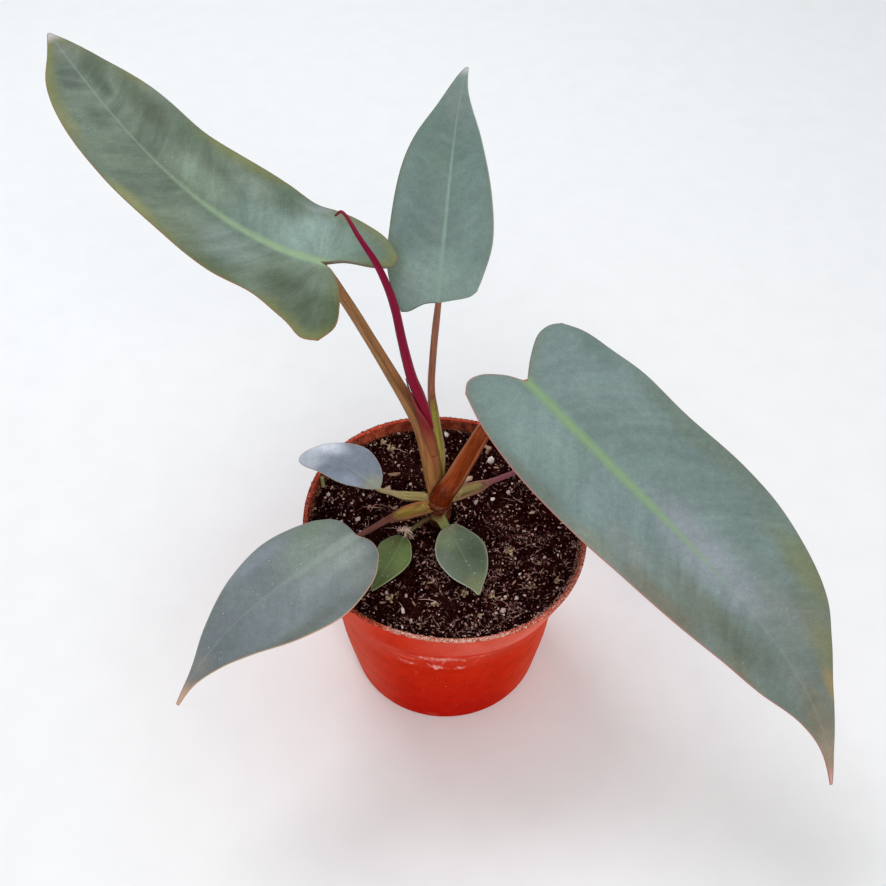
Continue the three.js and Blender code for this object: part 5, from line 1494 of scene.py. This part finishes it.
def make_bark(rng):
    material = grain_material("bark", (0.09, 0.035, 0.025), (0.5, 0.3, 0.2), 0.75)
    places = on_soil(rng, BARK_BITS, 6, sunk=-0.2)
    sizes = rng.uniform(0.3, 0.9, (len(places), 1)) * np.array([1.5, 0.5, 0.3])
    grains("bark_bits", rng, places, sizes, material, 0.3)


def make_clods(rng):
    """Each clod is a heap of lumps."""
    material = grain_material("clods", (0.16, 0.09, 0.05), (0.6, 0.46, 0.3), 0.6)
    spread = rng.normal(0, 0.36, (len(CLODS), CLOD_LUMPS, 2))
    clods = np.array(CLODS)
    x = (clods[:, :1] + clods[:, 2:] * spread[..., 0]).ravel()
    y = (clods[:, 1:2] + clods[:, 2:] * spread[..., 1]).ravel()
    sizes = np.repeat(clods[:, 2:], CLOD_LUMPS, 0) * rng.uniform(0.12, 0.4, (len(x), 3))
    grains("clods", rng, lifted(x, y, 0.5 * sizes[:, 2]), sizes, material, 0.35)


def make_litter():
    """All that lies loose on the soil and on the pot's lip. The random draws keep this order."""
    rng = np.random.default_rng(LITTER_SEED)
    make_crumbs(rng)
    make_perlite(rng)
    make_bark(rng)
    make_clods(rng)
    make_flakes()
    make_stub()
    make_fibres(rng)
    make_tuft(rng)
    make_lip_dust(rng)


def lifted(x, y, lift):
    return np.stack([x, y, soil_height(x, y) + lift], -1)


def make_flakes():
    """Thin curved scraps of dry bract and bark."""
    rows, columns, thickness = 10, 6, 0.18
    points, faces, tones = [], [], []
    u, v = np.meshgrid(np.linspace(-1, 1, rows + 1), np.linspace(-1, 1, columns + 1), indexing="ij")
    for n, (x, y, long, broad, turn) in enumerate(FLAKES):
        turn = math.radians(turn)
        along = 0.5 * long * u
        across = 0.5 * broad * v * np.sqrt(1.02 - u**2) * (1 + 0.15 * np.sin(5 * u + n))
        place_x = x + along * math.cos(turn) - across * math.sin(turn)
        place_y = y + along * math.sin(turn) + across * math.cos(turn)
        arch = 0.22 * broad * (1 - v**2) + 0.08 * long * u**2 + 0.12 * np.sin(4 * u + 3 * v + n)
        level = soil_height(np.array([x]), np.array([y]))[0] + 0.5
        top = np.stack([place_x, place_y, level + arch], -1).reshape(-1, 3)
        numbers = np.arange(len(top)).reshape(rows + 1, columns + 1)
        rim = border(numbers)
        start = sum(len(p) for p in points)
        points += [top, top - [0, 0, thickness]]
        faces.append(grid_faces(rows, columns, start)[:, ::-1])
        faces.append(grid_faces(rows, columns, start + len(top)))
        faces.append(band_faces(rim + start, rim + start + len(top))[:, ::-1])
        tones.append(np.full((2 * len(top), 3), (n * 0.618) % 1))
    material = grain_material("flakes", (0.3, 0.17, 0.11), (0.62, 0.42, 0.32), 0.6)
    marks = {"grain": np.vstack(tones)}
    make_piece("flakes", np.vstack(points), np.vstack(faces), material, (), marks)


OLD_STUB = [(-45.2, 20, 69, 0.9, 0.8, 0), (-45.6, 20.6, 73, 0.9, 0.8, 0), (-45.9, 21.6, 77.4, 0.8, 0.7, 0)]


def make_stub():
    """The dry stub of an old stalk that stands in the soil at the left rim."""
    m = Shader("stub", Specular_IOR_Level=0.2)
    streaks = m.noise(m.join(m.times(m.split("stalk_place")[1], 20.0), 0.0), 1.5, 3)
    colour = m.mix(streaks, (0.2, 0.2, 0.07), (0.42, 0.42, 0.22))
    material = m.finish(colour, 0.6, m.bump(streaks, 0.0004, 0.5))
    make_loft("old_stub", OLD_STUB, (1, 0, 0), sheath_ring, material, [])


def tubes(name, lines, radii, material, sides=4):
    """Thin round threads along given lines."""
    points, faces, tones = [], [], []
    turn = 2 * np.pi * np.arange(sides) / sides
    for n, (line, radius) in enumerate(zip(lines, radii)):
        line = np.asarray(line, float)
        along = unit(np.gradient(line, axis=0))
        side = unit(np.cross(along, np.array([0.1, 0.2, 1.0])))
        top = np.cross(side, along)
        taper = radius * (1 - 0.75 * np.linspace(-1, 1, len(line)) ** 4)
        start = sum(len(p) for p in points)
        ring = side[:, None] * np.cos(turn)[None, :, None] + top[:, None] * np.sin(turn)[None, :, None]
        points.append((line[:, None] + ring * taper[:, None, None]).reshape(-1, 3))
        faces += tube_faces(len(line), sides, start).tolist()
        faces.append([start + k for k in range(sides)])
        faces.append([start + (len(line) - 1) * sides + k for k in range(sides)][::-1])
        tones.append(np.full((len(line) * sides, 3), (n * 0.618) % 1))
    make_piece(name, np.vstack(points), faces, material, (), {"grain": np.vstack(tones)})


# Long dry fibres that can be told apart: the two ends of each
LONG_FIBRES = [
    ((-9.5, -29.1), (-1.8, -31.7)), ((17.5, -29.5), (24.8, -36.3)), ((22.7, -1.3), (36.9, -3.4)),
    ((-16.5, -30.2), (-14.4, -34.4)), ((-32.6, 11.2), (-22.5, 14.4)), ((-30.5, 12.8), (-24, 12.2)),
    ((-27.8, 10.6), (-25.2, 14.8)), ((-32, 13.4), (-27.5, 11)), ((-24, 42), (-14, 40)),
]


def make_fibres(rng):
    """Short dry fibres, and a few long ones."""
    material = grain_material("fibres", (0.14, 0.03, 0.025), (0.72, 0.44, 0.39), 0.85)
    lines, radii = [], []
    starts = on_soil(rng, FIBRE_TRIES, 6, SOIL_RADIUS - 1.5)
    share = crowding(starts) ** 1.5
    for number, start in enumerate(starts):
        if rng.uniform() > share[number]:
            continue
        count = 6
        step = rng.uniform(0.4, 1.2) if number % 13 == 0 else rng.uniform(0.14, 0.42)
        heading = rng.uniform(0, 2 * np.pi) + np.cumsum(rng.normal(0, 0.4, count))
        x = start[0] + np.cumsum(step * np.cos(heading))
        y = start[1] + np.cumsum(step * np.sin(heading))
        if np.hypot(x, y).max() > SOIL_RADIUS - 0.5:
            continue
        arch = rng.uniform(0.1, 0.6) * np.sin(np.linspace(0, np.pi, count))
        lines.append(lifted(x, y, 0.2 + arch))
        radii.append(rng.uniform(0.05, 0.11))
    for (x0, y0), (x1, y1) in LONG_FIBRES:
        u = np.linspace(0, 1, 16)
        bow = 0.6 * np.sin(np.pi * u) + 0.25 * np.sin(7 * u + x0)
        lines.append(lifted(x0 + (x1 - x0) * u, y0 + (y1 - y0) * u + bow, 0.4 + 0.3 * np.sin(3 * u)))
        radii.append(0.14)
    tubes("fibres", lines, radii, material)


# A tuft of dry roots lies over the small leaf's base. Each root runs through three points.
TUFT = [
    ((-17.6, -3.4, 77.2), (-15, -3.6, 77.8), (-11.4, -2.6, 76.4)),
    ((-16.8, -2.2, 76.6), (-14.4, -5, 78.2), (-13.6, -8.6, 78.4)),
    ((-15.6, -3, 77.6), (-14, -5.8, 78.6), (-14.8, -9, 78.7)),
    ((-14.6, -1.2, 76.4), (-13.4, -3.8, 77.8), (-11.6, -5.4, 76.6)),
    ((-17, -4.6, 77.8), (-14.2, -4.2, 78.2), (-10.2, -0.4, 74.6)),
    ((-13.4, -0.6, 75.4), (-13.8, -4.4, 78), (-16, -6.2, 78.2)),
    ((-12, -1.6, 76), (-13.8, -3.6, 77.6), (-17.2, -5, 78)),
    ((-15.4, -4.4, 77.8), (-12.8, -6, 77.8), (-10.8, -7, 75.4)),
]
TUFT_CURLS = 24


def make_tuft(rng):
    material = grain_material("tuft", (0.5, 0.33, 0.24), (0.9, 0.74, 0.6), 0.7)
    lines = []
    for points in TUFT:
        line = curve_through(points, 7)
        lines.append(line + 0.45 * noise_at(line + len(lines), 1.3, 2)[:, None] * np.array([1, -1, 0.5]))
    knot = np.array([-14.2, -4.6, 78.1])
    for _ in range(TUFT_CURLS):
        turn = rng.uniform(0, 2 * np.pi)
        reach = rng.uniform(0.8, 2.6) * np.array([math.cos(turn), math.sin(turn), 0])
        aside = rng.uniform(-1.2, 1.2) * np.array([-math.sin(turn), math.cos(turn), 0])
        lift = np.array([0, 0, rng.uniform(-0.2, 0.8)])
        lines.append(curve_through([knot - 0.5 * reach, knot + aside + lift, knot + reach - [0, 0, 0.3]], 5))
    tubes("root_tuft", lines, [0.21] * len(TUFT) + [0.16] * TUFT_CURLS, material, 5)


# Crumbs round the pot's lip: a name, from where to where in radians from the front, how many, how
# far inward and outward of the lip's inner edge, the darkest and palest colour, and their paleness
LIP_CRUMBS = [
    ("lip_dust", -0.4, 0.4, 1500, 0.6, 1.5, (0.36, 0.1, 0.06), (0.9, 0.6, 0.5), 1.0),
    ("lip_crumbs", 0.35, 1.75, 2600, 1.6, 1.5, (0.22, 0.07, 0.045), (0.85, 0.54, 0.43), 1.0),
    ("rim_dirt", 1.7, 5.9, 4200, 1.6, 1.4, (0.09, 0.026, 0.015), (0.58, 0.27, 0.18), 1.6),
]


def make_lip_dust(rng):
    """Crumbs on the lip and on the soil's edge, and stuck to the inner face of the band."""
    inner = LIP_RADIUS - LIP_WIDTH
    for name, start, end, count, inward, outward, dark, pale, paleness in LIP_CRUMBS:
        side = rng.uniform(start, end, count)
        off = rng.uniform(0, 1, count) * (inward + outward) - inward
        off = np.where(off > 0, 0.45 + 0.7 * off, off)
        stuck = rng.uniform(0, 1, count) < 0.2
        radius = np.where(stuck, inner - 0.1, inner + off)
        x, y = radius * np.sin(side), -radius * np.cos(side)
        ground = soil_height(x, y) + 0.1
        height = np.where(off > 0, POT_HEIGHT, np.minimum(ground, POT_HEIGHT - 0.4))
        height = np.where(stuck, POT_HEIGHT - rng.uniform(0, 1, count) * (POT_HEIGHT - ground), height)
        sizes = rng.uniform(0.08, 0.26, (count, 1)) * rng.uniform(0.7, 1.3, (count, 3))
        material = grain_material(name, dark, pale, 0.85)
        grains(name, rng, bent(np.stack([x, y, height], -1)), sizes, material, 0.3, paleness=paleness)


# Water drops on the young leaves: leaf, how many scattered, and a knot of them at (t, x)
DROPS = [
    ("front_leaf", 22, (3, 1)), ("small_leaf", 12, (5, 3)), ("lower_left_leaf", 14, (20, 4)),
    ("left_leaf", 6, (28, 2)), ("right_leaf", 6, (95, 2)), ("upper_left_leaf", 4, (66, 1)),
]


def make_drops():
    """Fine drops and grains of dust, as low domes on the leaves' upper sides."""
    rng = np.random.default_rng(DROP_SEED)
    shape, triangles = ball(2)
    points, faces = [], []
    for name, count, (t, x) in DROPS:
        blade = Blade(LEAVES[name])
        broad = max(abs(b) for _, b in LEAVES[name]["right_margin"])
        for n in range(count):
            if n % 3:
                at = np.array([rng.uniform(0.1, 0.85) * blade.length, 0.0])
                taper = math.sin(math.pi * (0.25 + 0.7 * at[0] / blade.length))
                at[1] = rng.uniform(-0.7, 0.7) * broad * taper
            else:
                at = np.array([t, x]) + rng.normal(0, 2.2, 2)
            size = rng.uniform(0.07, 0.17)
            up = blade.normal(*at[:, None])[0]
            middle = blade.place(*at[:, None])[0] + up * (BLADE_THICKNESS / 2 + 0.2 * size)
            dome = shape * size
            dome = dome - 0.5 * (dome @ up)[:, None] * up
            faces.append(triangles + sum(len(p) for p in points))
            points.append(middle + dome)
    m = Shader("drops", Roughness=0.12, Specular_IOR_Level=0.6)
    speck = m.noise(m.place(), 900, 2)
    material = m.finish(m.mix(speck, (0.4, 0.48, 0.42), (0.85, 0.9, 0.86)))
    make_piece("water_drops", np.vstack(points), np.vstack(faces), material)


make_camera()
make_studio()
for leaf_name in LEAVES:
    make_blade(leaf_name)
    make_petiole(leaf_name)
make_rolled_leaf()
make_stem()
make_pot()
make_soil()
make_litter()
make_drops()
